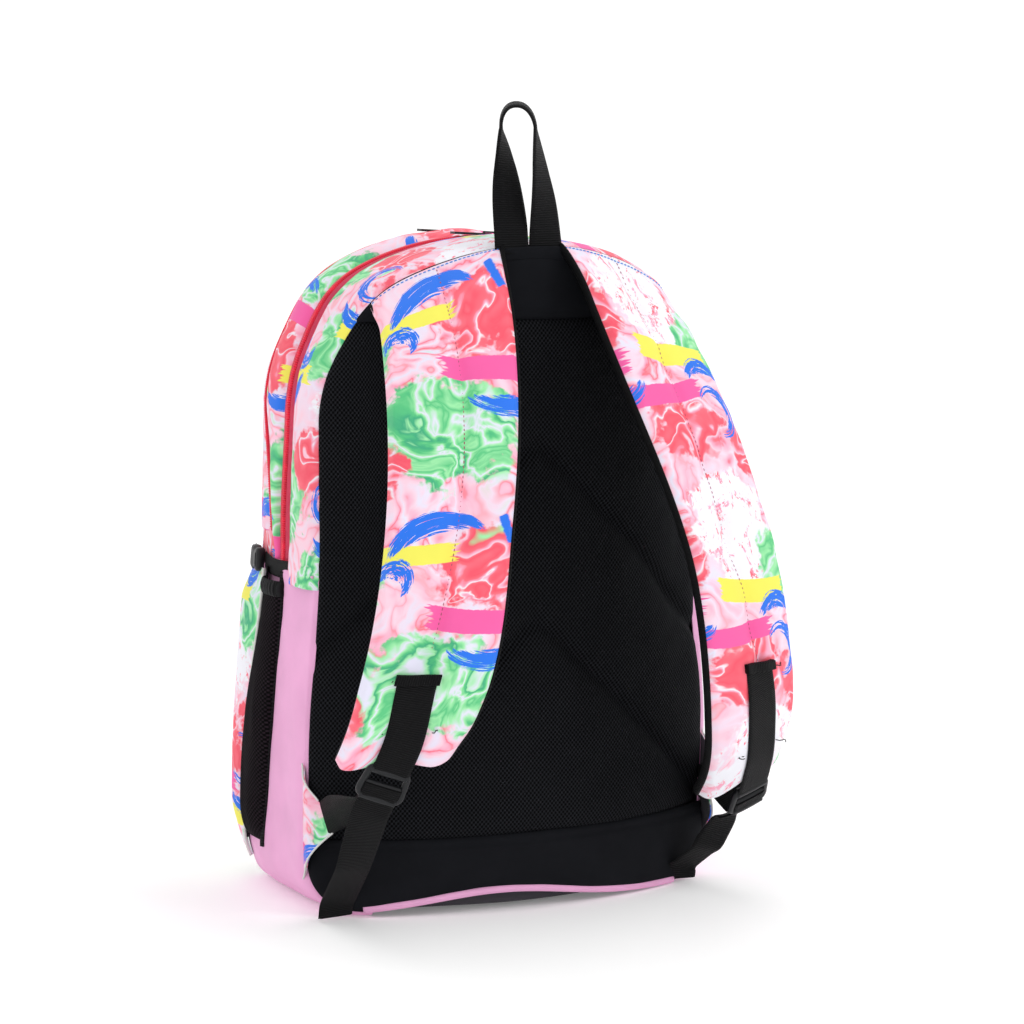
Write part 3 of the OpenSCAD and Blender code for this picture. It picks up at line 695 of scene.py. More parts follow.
def pocket_net(name):
    """Fine hexagonal net in black yarn, with painted shade in the gaps between its threads."""
    s = Shader(name, 0.85, 0.06, 0.0)
    yarn = s.step(s.diamonds(4.2, 3.0), -0.4, 0.9)
    # Painted shade: the gaps between the threads are near-black for the shade inside the pocket; the lighter
    # colour is the yarn.
    s.set("Base Color", s.worn(s.mix(yarn, srgb(4, 3, 4), srgb(38, 30, 36)), 0.15, 30))
    s.bump(yarn, 0.6 * MM, 0.9)
    return s.mat


def webbing_cloth(name, rib=1.55, dark=srgb(3, 3, 4), light=srgb(20, 20, 22), sheen=0.0, specular=0.12):
    """Ribbed polyester webbing: heavy ribs across it and a fine herringbone along it, with painted shade in
    the grooves between the ribs.
    """
    s = Shader(name, 0.6, specular, sheen)
    ribs = s.math("ABSOLUTE", s.math("SINE", s.mul(s.v, math.pi / rib)))
    slant = s.math("PINGPONG", s.u, 2.6)
    twill = s.math("SINE", s.mul(s.add(s.v, slant), 2 * math.pi / 0.95))
    fibres = s.noise(s.xyz(s.u, s.mul(s.v, 0.25)), 0.6, 2, 0.6)
    # Painted shade: the colour falls to dark in the grooves between the ribs; the fibre noise is the yarn's
    # own tone.
    yarn = s.mul(ribs, s.add(s.mul(fibres, 0.5), 0.55))
    s.set("Base Color", s.worn(s.mix(yarn, dark, light), 0.12, 25))
    s.set("Roughness", s.add(s.mul(ribs, -0.14), 0.68))
    s.bump(s.add(s.mul(ribs, 0.8), s.mul(twill, 0.18)), 0.6 * MM, 0.9)
    return s.mat


def moulded_plastic(name, colour):
    """Moulded acetal with a fine spark texture and slightly polished wear."""
    s = Shader(name, 0.42, 0.3)
    grain = s.tree.nodes.new("ShaderNodeTexCoord").outputs["Object"]
    fine = s.noise(grain, 0.0006, 2, 0.6)
    broad = s.noise(grain, 0.012, 3, 0.5)
    s.set("Base Color", s.mix(broad, colour, tuple(c * 1.7 for c in colour[:3]) + (1,)))
    s.set("Roughness", s.add(s.mul(broad, 0.22), 0.30))
    s.bump(fine, 0.08 * MM, 0.6)
    return s.mat


def enamel_metal(name, colour):
    """Black enamelled die-cast metal, brighter where it rubs."""
    s = Shader(name, 0.3, 0.5)
    grain = s.tree.nodes.new("ShaderNodeTexCoord").outputs["Object"]
    rub = s.step(s.noise(grain, 0.004, 4, 0.7), 0.58, 0.75)
    s.set("Base Color", s.mix(rub, colour, srgb(96, 96, 100)))
    s.set("Metallic", s.add(s.mul(rub, 0.6), 0.3))
    s.set("Roughness", s.add(s.mul(s.noise(grain, 0.003, 2), 0.2), 0.22))
    return s.mat


def coil_nylon(name, colour):
    """Shiny nylon for the zips' teeth."""
    s = Shader(name, 0.36, 0.45)
    s.set("Base Color", s.worn(colour, 0.18, 6))
    s.bump(s.noise(s.mm, 0.8, 2), 0.1 * MM, 0.5)
    return s.mat


def thread(name, colour):
    """Sewing thread with a visible twist."""
    s = Shader(name, 0.6, 0.3, 0.2)
    twist = s.math("SINE", s.mul(s.add(s.v, s.mul(s.u, 1.2)), 2 * math.pi / 0.8))
    shaded = tuple(c * 0.6 for c in colour[:3]) + (1,)
    s.set("Base Color", s.worn(s.mix(s.step(twist, -0.5, 0.5), shaded, colour), 0.1, 8))
    return s.mat


PRINT_LEFT = printed_cloth("print_left_strap")
PRINT_RIGHT = printed_cloth("print_right_strap", 95.0)
PRINT_BAG = printed_cloth("print_bag", 130.0, 60.0)
PRINT_FRONT = printed_cloth("print_front", -30.0, 30.0)
PINK = plain_cloth("pink_cloth", srgb(240, 174, 216), 0.7, 0.66, 0.25, 0.15, 0.06, 0.5)
# Black cloth for the yoke, band, straps and loop tape; the base also takes it as painted shade.
BLACK_CLOTH_AND_BASE_SHADE = plain_cloth("black_cloth", srgb(21, 22, 26), 0.6, 0.82, 0.08, 0.0, 0.14, 0.5)
LINING = plain_cloth("grey_lining", srgb(72, 70, 76), 0.5, 0.6, 0.3, 0.1, 0.08, 0.35)
AIR_MESH = air_mesh("air_mesh")
NET = pocket_net("pocket_net")
# The darker colour of each webbing below is painted shade in its rib grooves.
WEBBING = webbing_cloth("black_webbing")
BINDING = webbing_cloth("black_binding", 1.0)
ELASTIC = webbing_cloth("ribbed_elastic", 2.2, light=srgb(30, 30, 32))
TAPE = webbing_cloth("coral_tape", 0.8, srgb(214, 36, 76), srgb(246, 74, 112), 0.08, 0.25)
PLASTIC = moulded_plastic("black_plastic", srgb(17, 18, 21))
METAL = enamel_metal("black_enamel", srgb(28, 28, 30))
COIL = coil_nylon("crimson_coil", srgb(238, 24, 66))
PIPING = plain_cloth("white_piping", srgb(232, 231, 228), 0.5, 0.5, 0.35, 0.2, 0.05, 0.2)
BLUE_THREAD = thread("blue_thread", srgb(72, 150, 240))
PINK_THREAD = thread("rose_thread", srgb(190, 96, 120))
BLACK_THREAD = thread("black_thread", srgb(26, 26, 28))


# ---------------------------------------------------------------- the back

COLS = np.linspace(-1, 1, 121)
CHANNEL_TOPS = (319 * MM, 200.5 * MM)
CHANNEL_SLOPE = math.atan(0.965)


def roll(distance, reach, drop):
    """How far a seamed edge sinks, given the distance in from it."""
    return drop * (1 - np.sqrt(np.clip(1 - (1 - np.clip(distance / reach, 0, 1)) ** 2, 0, 1)))


def back_surface(x, z, puff):
    """Points of the back at x, z, raised by puff along the outward normal."""
    y = back_y(x)
    return stack(x, y, z) + unit(stack(x, y - BACK_Y, 0)) * puff[..., None]


def mesh_skin():
    """The padded air-mesh back with two pressed channels, each an upside-down V."""
    pad = 4.5 * MM
    rows = np.linspace(BAND_Z, YOKE_Z, 141)
    x, z = spread(COLS[:, None] * half_width(rows), rows)
    edge = np.minimum(half_width(z) - np.abs(x), np.minimum(z - BAND_Z, YOKE_Z - z))
    puff = pad - roll(edge, 16 * MM, pad)
    for top in CHANNEL_TOPS:
        arm = top - np.hypot(x, 4 * MM) * math.tan(CHANNEL_SLOPE)
        off = (z - arm) * math.cos(CHANNEL_SLOPE)
        puff -= 4.4 * MM * np.exp(-np.abs(off / (4.2 * MM)) ** 1.7) + 2.2 * MM * bump(off, 0, 16 * MM)
    p = stack(x, 0, z)
    puff += 1.3 * MM * folds(p, 75 * MM, 5, 3) + 0.35 * MM * folds(p, 16 * MM, 9, 2)
    x = x - np.sign(x) * roll(edge, 10 * MM, 1.0 * MM)
    uv = stack(BACK_R * np.arcsin(x / BACK_R), z)
    obj = sheet("back_mesh_skin", back_surface(x, z, puff), uv, AIR_MESH, LINING, "pack")
    mark(obj, "air_mesh", "back_mesh_panel")


def yoke_skin():
    """The plain cloth yoke above the mesh, up to the arched seam."""
    pad = 2.4 * MM
    foot = YOKE_Z - 1 * MM
    x = (COLS * half_width(YOKE_Z) * 0.992)[:, None]
    top = arch_top(x)
    x, z = spread(x, foot + (top - foot) * np.linspace(0, 1, 27))
    edge = np.minimum((top - z) * 0.9, z - foot)
    puff = pad - roll(edge, 9 * MM, pad) + 0.9 * MM * folds(stack(x, 0, z), 50 * MM, 15, 3, (1, 1, 1.6))
    puff -= 0.9 * MM * bump(z, YOKE_Z + 4.5 * MM, 1.6 * MM)
    obj = sheet("back_yoke_skin", back_surface(x, z, puff), stack(x, z), BLACK_CLOTH_AND_BASE_SHADE, LINING, "pack")
    mark(obj, "black_cloth", "back_yoke")


def base_lift(x):
    """How far the soft bottom edge rises off the floor between the two rear corners."""
    return 13 * MM * bump(x, -25 * MM, 75 * MM)


def band_skin():
    """The plain cloth band below the mesh, with a topstitched hem."""
    top = BAND_Z + 1 * MM
    rows = np.linspace(0, top, 33)
    x, z = spread(COLS[:, None] * half_width(rows), rows)
    edge = np.minimum(half_width(z) - np.abs(x), np.minimum(z, top - z))
    creases = 1.1 * MM * folds(stack(x, 0, z), 45 * MM, 25, 3, (1, 1, 1.3))
    puff = 3.0 * MM - roll(edge, 9 * MM, 3.2 * MM) + creases - 1.0 * MM * bump(z, BAND_Z - 5 * MM, 1.6 * MM)
    points = back_surface(x, z, puff)
    points[..., 2] += base_lift(x) * (1 - smooth(z, 0, 50 * MM))
    obj = sheet("back_band_skin", points, stack(x, z), BLACK_CLOTH_AND_BASE_SHADE, LINING, "pack")
    mark(obj, "black_cloth", "back_lower_band")


def inner_back():
    """The cloth lining of the back, inside, with the sleeve pocket on it."""
    rows = np.linspace(19 * MM, TOP - 4 * MM, 61)
    x, z = spread(np.linspace(-1, 1, 41)[:, None] * (half_width(rows) - 3 * MM), rows)
    y = back_y(x) + 9 * MM + 1.0 * MM * folds(stack(x, 0, z), 90 * MM, 35, 3)
    obj = sheet("back_inner_lining", stack(x, y, z), stack(x, z), LINING, None, "pack", True)
    mark(obj, "lining", "back_foam")
    a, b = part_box("inner_sleeve")
    x, z = spread(np.linspace(a.x, b.x, 41)[:, None], np.linspace(a.z, b.z, 41))
    edge = np.minimum(np.minimum(x - a.x, b.x - x), z - a.z)
    swell = 9 * MM * smooth(edge, 0, 30 * MM) + 1.5 * MM * folds(stack(x, 0, z), 60 * MM, 41, 3)
    y = back_y(x) + 12 * MM + swell
    obj = sheet("sleeve_skin", stack(x, y, z), stack(x, z), LINING, None, "pack", True)
    mark(obj, "lining", "inner_sleeve")
    hem = stack(x[:, 0], back_y(x[:, 0]) + 21 * MM, b.z)
    mark(tube("sleeve_hem", hem, 2.2 * MM, BINDING, "pack", 8), "black_webbing")


mesh_skin()
yoke_skin()
band_skin()
inner_back()


# ---------------------------------------------------------------- gussets, sides and base

TAPE_W = 9.0 * MM
T_SIDE = arch_t(SIDE_Z - 11 * MM)
T_FOLD = arch_t(FOLD_Z)


def zip1_y(t):
    """Where the main zip runs: straight over the crown, bowing towards the back below the shoulders."""
    _, z = arch(t)
    return Y_ZIP1 - 11 * MM * smooth(np.abs(t), 70 * MM, 220 * MM) * smooth(z, FOLD_Z, FOLD_Z + 100 * MM)


def zip2_y(t):
    """Where the second zip runs: it comes towards the back as it goes down the side."""
    _, z = arch(t)
    return Y_ZIP2 - 35 * MM * (1 - smooth(z, SIDE_Z + 5 * MM, 410 * MM))


def sewn_steps(rows):
    """Steps from 0 to 1, closest together at the two sewn edges."""
    return (1 - np.cos(np.linspace(0, math.pi, rows))) / 2


def gusset_points(t, y0, y1, bulge, rows, seam, seed, crease=1.0):
    """A gusset from y0 to y1 round the arch, domed by bulge between its two sewn edges."""
    v = sewn_steps(rows)
    t = t[:, None]
    y = y0[:, None] + (y1 - y0)[:, None] * v
    dome = np.sin(math.pi * v) ** 0.62
    p = stack(t, y, 0)
    wrinkle = 1.1 * MM * folds(p, 55 * MM, seed, 3, (1, 0.45, 1))
    wrinkle = wrinkle + 0.7 * MM * folds(p, 21 * MM, seed + 7, 2, (1, 0.35, 1))
    pucker = 0.5 * MM * folds(p, 10 * MM, seed + 3, 2, (1, 0.2, 1)) * (1 - dome)
    grow = bulge * dome - seam * (1 - np.minimum(dome * 1.6, 1))
    grow = grow + crease * (wrinkle * (0.25 + 0.75 * dome) + pucker)
    x, z = arch(t, grow)
    return stack(x, y, z), stack(y - Y_SEAM, t)


def main_gusset_skin():
    """The printed gusset between the back seam and the main zip."""
    t = np.linspace(-T_SIDE - 4 * MM, T_SIDE + 4 * MM, 301)
    y0 = back_y(arch(t)[0]) + 0.3 * MM
    y1 = zip1_y(t) - TAPE_W + 1.0 * MM
    points, uv = gusset_points(t, y0, y1, 5 * MM, 25, 2.2 * MM, 51)
    mark(sheet("gusset_main_skin", points, uv, PRINT_BAG, LINING, "pack"), "printed_cloth", "main_gusset")


def second_gusset_skin():
    """The printed gusset between the two long zips."""
    t = np.linspace(-T_SIDE, T_SIDE, 301)
    y0 = zip1_y(t) + TAPE_W - 1.0 * MM
    y1 = zip2_y(t) - TAPE_W + 1.0 * MM
    points, uv = gusset_points(t, y0, y1, 5 * MM, 25, 3 * MM, 71)
    shrink = 2.2 * MM * (1 - smooth(arch(t)[1], SIDE_Z, SIDE_Z + 20 * MM))
    points[..., 0] -= np.sign(points[..., 0]) * shrink[:, None]
    obj = sheet("second_gusset_skin", points, uv, PRINT_BAG, LINING)
    mark(obj, "printed_cloth", "second_gusset", "divider_upper")
    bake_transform(obj)


def side_skin(side):
    """The pink side panel, from the back seam round to the front, curling under at the foot."""
    pad, foot_gap = 2.6 * MM, 0.6 * MM
    top = T_SIDE - 5 * MM
    foot = float(ARCH_T[np.argmax(ARCH_ROWS[:, 3] < -0.999)])
    t = np.linspace(top, foot + 6 * MM, 121)[:, None]
    y0 = back_y(arch(t)[0]) + 0.2 * MM
    y1 = Y_FRONT - 0.5 * MM
    y = y0 + (y1 - y0) * sewn_steps(61)
    dome = 1 - np.clip(1 - np.minimum(y - y0, y1 - y) / (16 * MM), 0, 1) ** 2
    plump = pad + (5.9 * MM * (1 - smooth(y, -62 * MM, -34 * MM)) if side > 0 else 0)
    p = stack(t + (400 * MM if side < 0 else 0), y, 0)
    upright = 1.5 * MM * folds(p, 35 * MM, 91, 3, (0.28, 1, 1))
    upright = upright + 1.3 * MM * folds(p, 90 * MM, 95, 2, (0.6, 1, 1))
    grow = plump * dome - pad * (1 - np.minimum(dome * 3, 1)) + upright * (0.3 + 0.7 * dome)
    pinch = 1.2 * MM * bump(t, T_SIDE - 1 * MM, 3.5 * MM)
    grow = grow + 0.5 * MM * folds(p, 20 * MM, 99, 2, (0.8, 1, 1)) * dome + pinch
    x, z = arch(t, grow)
    points = stack(side * x, y, np.maximum(z, foot_gap))
    obj = sheet("side_skin_" + WORD[side], points, stack(y, t), PINK, LINING, "pack", flip=side < 0)
    mark(obj, "pink_cloth", "side_panel_" + WORD[side])
    x, z = arch(top, 1.4 * MM)
    hem = stack(side * x, np.linspace(back_y(x) + 2 * MM, zip1_y(top) - 2 * MM, 60), z)
    mark(tube("side_hem_" + WORD[side], hem, 1.1 * MM, PINK, "pack", 8), "pink_cloth")


def base_skin():
    """The underside, lifted off the floor between the rear corners, with a pink hem behind it. It is made
    black as painted shade for the shadow beneath the bag.
    """
    wide = HALF_W - FOOT_R + 2 * MM
    x = np.linspace(-wide, wide, 81)[:, None]
    y0, y1 = back_y(x) - 1.0 * MM, Y_FRONT + 1 * MM
    y = y0 + (y1 - y0) * np.linspace(0, 1, 49)
    z = 0.9 * MM + roll(np.minimum(y - y0, y1 - y), 7 * MM, 2.0 * MM)
    z = z + 0.6 * MM * np.abs(folds(stack(x, y, 0), 70 * MM, 111, 3))
    z = z + base_lift(x) * (1 - smooth(y - y0, 0, 60 * MM))
    # Painted shade: black cloth on the underside stands in for the shadow under the bag.
    obj = sheet("base_skin", stack(x, y, z), stack(x, y), BLACK_CLOTH_AND_BASE_SHADE, LINING, "pack", flip=True)
    mark(obj, "black_cloth", "base_panel")
    x = np.linspace(-wide, wide, 121)
    lip = stack(x, back_y(x) - 1.6 * MM, 2.2 * MM + base_lift(x))
    mark(tube("base_hem", lip, 2.6 * MM, PINK, "pack", 8), "pink_cloth")


def fold_cheek(side):
    """The printed cloth between the side panel and the fold, beside the foot of the second zip."""
    t = np.linspace(T_FOLD - 3 * MM, T_SIDE + 8 * MM, 25)[:, None]
    y0 = zip2_y(T_FOLD) - TAPE_W - 2 * MM
    v = np.linspace(0, 1, 25)
    y = y0 + (Y_FRONT - 0.5 * MM - y0) * v
    dome = 1.6 * MM * np.sin(math.pi * v)
    x, z = arch(t, dome - 0.8 * MM + 0.6 * MM * folds(stack(t, y, 0), 30 * MM, 127 + side, 2))
    points, uv = stack(side * x, y, z), stack(side * y, z)
    obj = sheet("fold_cheek_" + WORD[side], points, uv, PRINT_BAG, LINING, "pack", flip=side < 0)
    mark(obj, "printed_cloth")


def divider_skin():
    """The cloth wall between the two compartments, one part below the fold and one above it."""
    for name, z0, z1, body, nodes in (("divider_low_skin", 4 * MM, FOLD_Z, "pack", ["divider_lower"]),
                                      ("divider_high_skin", FOLD_Z, TOP - 6 * MM, "flap", [])):
        rows = np.linspace(z0, z1, 41)
        x, z = spread(np.linspace(-1, 1, 61)[:, None] * (half_width(rows) - 4 * MM), rows)
        y = Y_ZIP1 + 8 * MM + 1.6 * MM * folds(stack(x, 0, z), 90 * MM, 121, 3)
        obj = sheet(name, stack(x, y, z), stack(x, z), LINING, None, body, flip=True)
        mark(obj, "lining", *nodes)


main_gusset_skin()
second_gusset_skin()
side_skin(-1)
side_skin(1)
base_skin()
fold_cheek(-1)
fold_cheek(1)
divider_skin()


# ---------------------------------------------------------------- zips

TOOTH_PITCH = 1.6 * MM
TOOTH_SLICES = ((-1, 0.62), (-0.55, 1.0), (0.55, 1.0), (1, 0.62))
TOOTH_HALF = 0.37 * TOOTH_PITCH


def zip_half(name, t, y_line, direction, body):
    """One tape of an arched zip with its row of teeth. direction is 1 if the tape lies in front."""
    across = np.array([1.2, 3.0, 6.0, 10.5]) * MM
    grow = np.array([0.4, 1.1, 1.3, -0.6]) * MM
    x, z = arch(t[:, None], grow)
    points = stack(x, y_line[:, None] + direction * across, z)
    tape = sheet(name + "_tape", points, stack(across, t[:, None]), TAPE, None, body, flip=direction < 0)
    mark(tape, "zip_tape", name)
    k = np.arange(math.floor(t[0] / TOOTH_PITCH) + 2, math.floor(t[-1] / TOOTH_PITCH) - 1)
    tc = (k + (0.5 if direction > 0 else 0.0)) * TOOTH_PITCH
    yc = np.interp(tc, t, y_line)
    turn = np.gradient(yc, tc)
    outline = np.array([[-1.2, 0.6], [-0.9, 1.9], [0.3, 2.6], [2.3, 2.4], [3.3, 1.4], [3.3, 0.6]]) * MM
    root = 0.5 * MM
    verts, faces = [], []
    m = len(outline)
    for i in range(len(tc)):
        base = len(verts)
        for s, squeeze in TOOTH_SLICES:
            for a, g in outline:
                x, z = arch(tc[i] + s * TOOTH_HALF, root + (g - root) * squeeze)
                verts.append((float(x), yc[i] + direction * a + turn[i] * s * TOOTH_HALF, float(z)))
        faces += block_faces(base, len(TOOTH_SLICES), m)
        faces.append(tuple(base + c for c in range(m))[::-1])
        faces.append(tuple(base + 3 * m + c for c in range(m)))
    corner_uv = [(verts[v][1], verts[v][2]) for f in faces for v in f]
    mesh = mesh_from(name + "_teeth", verts, faces, [COIL], corner_uv)
    teeth = mark(new_object(name + "_teeth", mesh, body), "zip_tape")
    return tape, teeth


ZIP1_T = np.linspace(-T_SIDE + 1 * MM, T_SIDE - 1 * MM, 401)
ZIP2_T = np.linspace(-T_FOLD + 1 * MM, T_FOLD - 1 * MM, 391)
zip_half("main_zip_back", ZIP1_T, zip1_y(ZIP1_T), -1, "pack")
for piece in zip_half("main_zip_front", ZIP1_T, zip1_y(ZIP1_T), 1, None):
    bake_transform(piece)
zip_half("second_zip_back", ZIP2_T, zip2_y(ZIP2_T), -1, "flap")
zip_half("second_zip_front", ZIP2_T, zip2_y(ZIP2_T), 1, "front_flap")


# ---------------------------------------------------------------- the front

def front_rim_skin():
    """From the second zip forward to the seam round the front panel."""
    t = np.linspace(-T_FOLD, T_FOLD, 281)
    y0 = zip2_y(t) + TAPE_W - 1.0 * MM
    y1 = np.full_like(t, Y_FRONT)
    points, uv = gusset_points(t, y0, y1, 2.2 * MM, 15, 2.2 * MM, 131, 0.7)
    obj = sheet("front_rim_skin", points, uv, PRINT_BAG, LINING, "front_flap")
    mark(obj, "printed_cloth", "front_rim")


def front_panel_skins():
    """The front of the second compartment, and the panel behind the pocket below the fold."""
    cols = np.sin(np.linspace(-1, 1, 111) * math.pi / 2)[:, None]
    x = (HALF_W - 0.5 * MM) * cols
    top = arch_top(x) - 0.5 * MM
    foot = FOLD_Z - 9 * MM
    x, z = spread(x, foot + (top - foot) * np.linspace(0, 1, 61) ** 0.9)
    edge = np.minimum(HALF_W - np.abs(x), (top - z) * 0.9)
    swell = 7 * MM * (1 - np.clip(1 - edge / (60 * MM), 0, 1) ** 2.4) - roll(edge, 7 * MM, 3.0 * MM)
    creases = 1.8 * MM * folds(stack(x, 0, z), 90 * MM, 141, 3) * np.clip(edge / (30 * MM), 0, 1)
    points = stack(x, Y_FRONT + 1.6 * MM + swell + creases, z)
    obj = sheet("front_upper_skin", points, stack(-x, z), PRINT_FRONT, LINING, "front_flap", flip=True)
    mark(obj, "printed_cloth", "front_panel")
    rows = np.linspace(1 * MM, FOLD_Z + 4 * MM, 91)
    x, z = spread(cols * (half_width(rows) - 0.5 * MM), rows)
    edge = np.minimum(half_width(z) - np.abs(x), z)
    hem = 2.4 * MM * smooth(z, FOLD_Z - 30 * MM, FOLD_Z - 12 * MM)
    y = Y_FRONT - roll(edge, 10 * MM, 4 * MM) - hem + 0.8 * MM * folds(stack(x, 0, z), 70 * MM, 151, 3)
    obj = sheet("front_lower_skin", stack(x, y, z), stack(-x, z), PRINT_FRONT, LINING, "pack", flip=True)
    mark(obj, "printed_cloth", "front_lower_panel")


front_rim_skin()
front_panel_skins()


# ---------------------------------------------------------------- the front pocket

POCKET_CORNER = 30 * MM
POCKET_LEAN = 38 / 20


def pocket_profile():
    """Height and depth of the pocket, row by row from its bottom seam to its top one."""
    a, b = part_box("front_pocket")
    foot, step = 26 * MM, 5 * MM
    slope_z = b.z - 20 * MM
    deep = b.y - Y_FRONT
    q = np.linspace(0, math.pi / 2, 14)
    straight = np.linspace(a.z + foot, slope_z - step, 60)[1:]
    upper = slope_z - step + (b.z - slope_z + step) * np.linspace(0, 1, 24)[1:]
    z = np.concatenate([a.z + foot * (1 - np.cos(q)), straight, upper])
    depth = np.concatenate([deep * np.sin(q) ** 0.8, np.full(len(straight) + len(upper), deep)])
    over = z - slope_z
    depth = depth - POCKET_LEAN * 0.5 * (over + np.hypot(over, 3 * MM))
    return a.z, b.z, b.x, z, np.maximum(depth, 1 * MM)


POCKET_Z0, POCKET_Z1, POCKET_W, POCKET_ROWS, POCKET_DEPTH = pocket_profile()


def front_pocket_skin():
    """The pocket's body: square in plan, puffed at the sides and flatter under its zip."""
    square = 2 / 5.5
    z = POCKET_ROWS
    low_in = np.maximum(POCKET_CORNER - (z - POCKET_Z0), 0)
    high_in = np.maximum(POCKET_CORNER * 0.6 - (POCKET_Z1 - z), 0)
    wide = POCKET_W - POCKET_CORNER + rise(POCKET_CORNER, low_in) - 0.25 * high_in
    q = np.linspace(0, math.pi, 121)[:, None]
    x = wide * squared(np.cos(q), square)
    out = np.abs(np.sin(q)) ** square
    y = POCKET_DEPTH * out
    mid = smooth(z, POCKET_Z0, POCKET_Z0 + 50 * MM) * (1 - smooth(z, POCKET_Z1 - 30 * MM, POCKET_Z1))
    x = x + np.sign(x) * 14 * MM * mid * bump(out, 0.62, 0.36) * smooth(np.abs(x), 80 * MM, 130 * MM)
    p = stack(x, y, z)
    under_zip = 1 - 0.85 * smooth(z, POCKET_Z1 - 24 * MM, POCKET_Z1 - 18 * MM)
    swell = 2.2 * MM * folds(p, 80 * MM, 161, 3) + 0.8 * MM * folds(p, 30 * MM, 165, 2)
    swell = swell * smooth(out, 0.1, 0.7) - 2.5 * MM * smooth(out, 0.85, 1) * mid
    y = Y_FRONT + 0.5 * MM + y + swell * under_zip
    x = x + np.sign(x) * 1.2 * MM * folds(p, 50 * MM, 171, 2, (0.3, 1, 0.6)) * bump(out, 0.5, 0.4)
    around = np.cumsum(np.hypot(np.diff(x, axis=0, prepend=x[:1]), np.diff(y, axis=0, prepend=y[:1])), 0)
    uv = stack(around - around[len(q) // 2], z)
    obj = sheet("front_pocket_skin", stack(x, y, z), uv, PRINT_FRONT, LINING, "pack")
    mark(obj, "printed_cloth", "front_pocket")


def pocket_piping():
    """White piping round the pocket's seam, down each side and along the bottom."""
    c = POCKET_CORNER
    w = POCKET_W + 0.8 * MM
    top = POCKET_Z1 - 2 * MM
    q = np.linspace(0, math.pi / 2, 20)[1:]
    left = np.concatenate([
        stack(-w, np.linspace(top, POCKET_Z0 + c, 60)),
        stack(-w + c - c * np.cos(q), POCKET_Z0 + c - c * np.sin(q))])
    foot = stack(np.linspace(-w + c, w - c, 60)[1:-1], POCKET_Z0)
    x, z = np.concatenate([left, foot, (left * (-1, 1))[::-1]]).T
    y = Y_FRONT + 2.2 * MM + 0.5 * MM * folds(stack(x, 0, z), 50 * MM, 181, 2)
    obj = tube("pocket_piping_cord", stack(x, y, z), 1.7 * MM, PIPING, "pack", 8)
    mark(obj, "white_piping", "pocket_piping")


def pocket_zip():
    """The straight zip along the pocket's slope."""
    a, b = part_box("pocket_zip")
    mid = (a + b) / 2
    up = unit(np.array([0, -POCKET_LEAN, 1]))
    out = unit(np.array([0, 1, POCKET_LEAN]))
    centre = np.array([0, mid.y, mid.z])
    x = np.linspace(a.x, b.x, 121)[:, None]
    across = np.array([-8.5, -5.0, -2.2, -0.7]) * MM
    lift = np.array([1.0, 1.7, 1.7, 1.0]) * MM
    for name, s, nodes in (("pocket_tape_low", 1, ["pocket_zip"]), ("pocket_tape_high", -1, [])):
        line = centre + up * (across * s)[:, None] + out * lift[:, None]
        points = stack(x, line[:, 1], line[:, 2])
        mark(sheet(name, points, stack(across, x), TAPE, None, "pack", flip=s > 0), "zip_tape", *nodes)
    verts, faces = [], []
    outline = np.array([[-0.9, 0.8], [-0.7, 1.9], [0.2, 2.4], [1.6, 2.3], [2.3, 1.4], [2.3, 0.8]]) * MM
    for s in (1, -1):
        for k in np.arange(a.x + 3 * MM, b.x - 3 * MM, TOOTH_PITCH):
            xc = k + (0.5 * TOOTH_PITCH if s > 0 else 0)
            faces += block_faces(len(verts), len(TOOTH_SLICES), len(outline))
            for way, squeeze in TOOTH_SLICES:
                for q, g in outline:
                    r = centre + up * q * s + out * (g * squeeze + 0.5 * MM)
                    verts.append((xc + way * TOOTH_HALF, r[1], r[2]))
    mesh = mesh_from("pocket_zip_teeth", verts, faces, [COIL])
    mark(new_object("pocket_zip_teeth", mesh, "pack"), "zip_tape")


front_pocket_skin()
pocket_piping()
pocket_zip()


# ---------------------------------------------------------------- side pockets, webbing and buckles

def net_edges(z, z0, z1):
    """Rear and front edges of the net pocket at height z: it leans forward towards its foot."""
    q = np.clip((z - z0) / (z1 - z0), 0, 1)
    rear = Y_ZIP1 - 8 * MM + 22 * MM * (1 - q) ** 2.2
    front = Y_ZIP1 + 57 * MM - 33 * MM * smooth(q, 0.05, 1.15)
    return rear, front


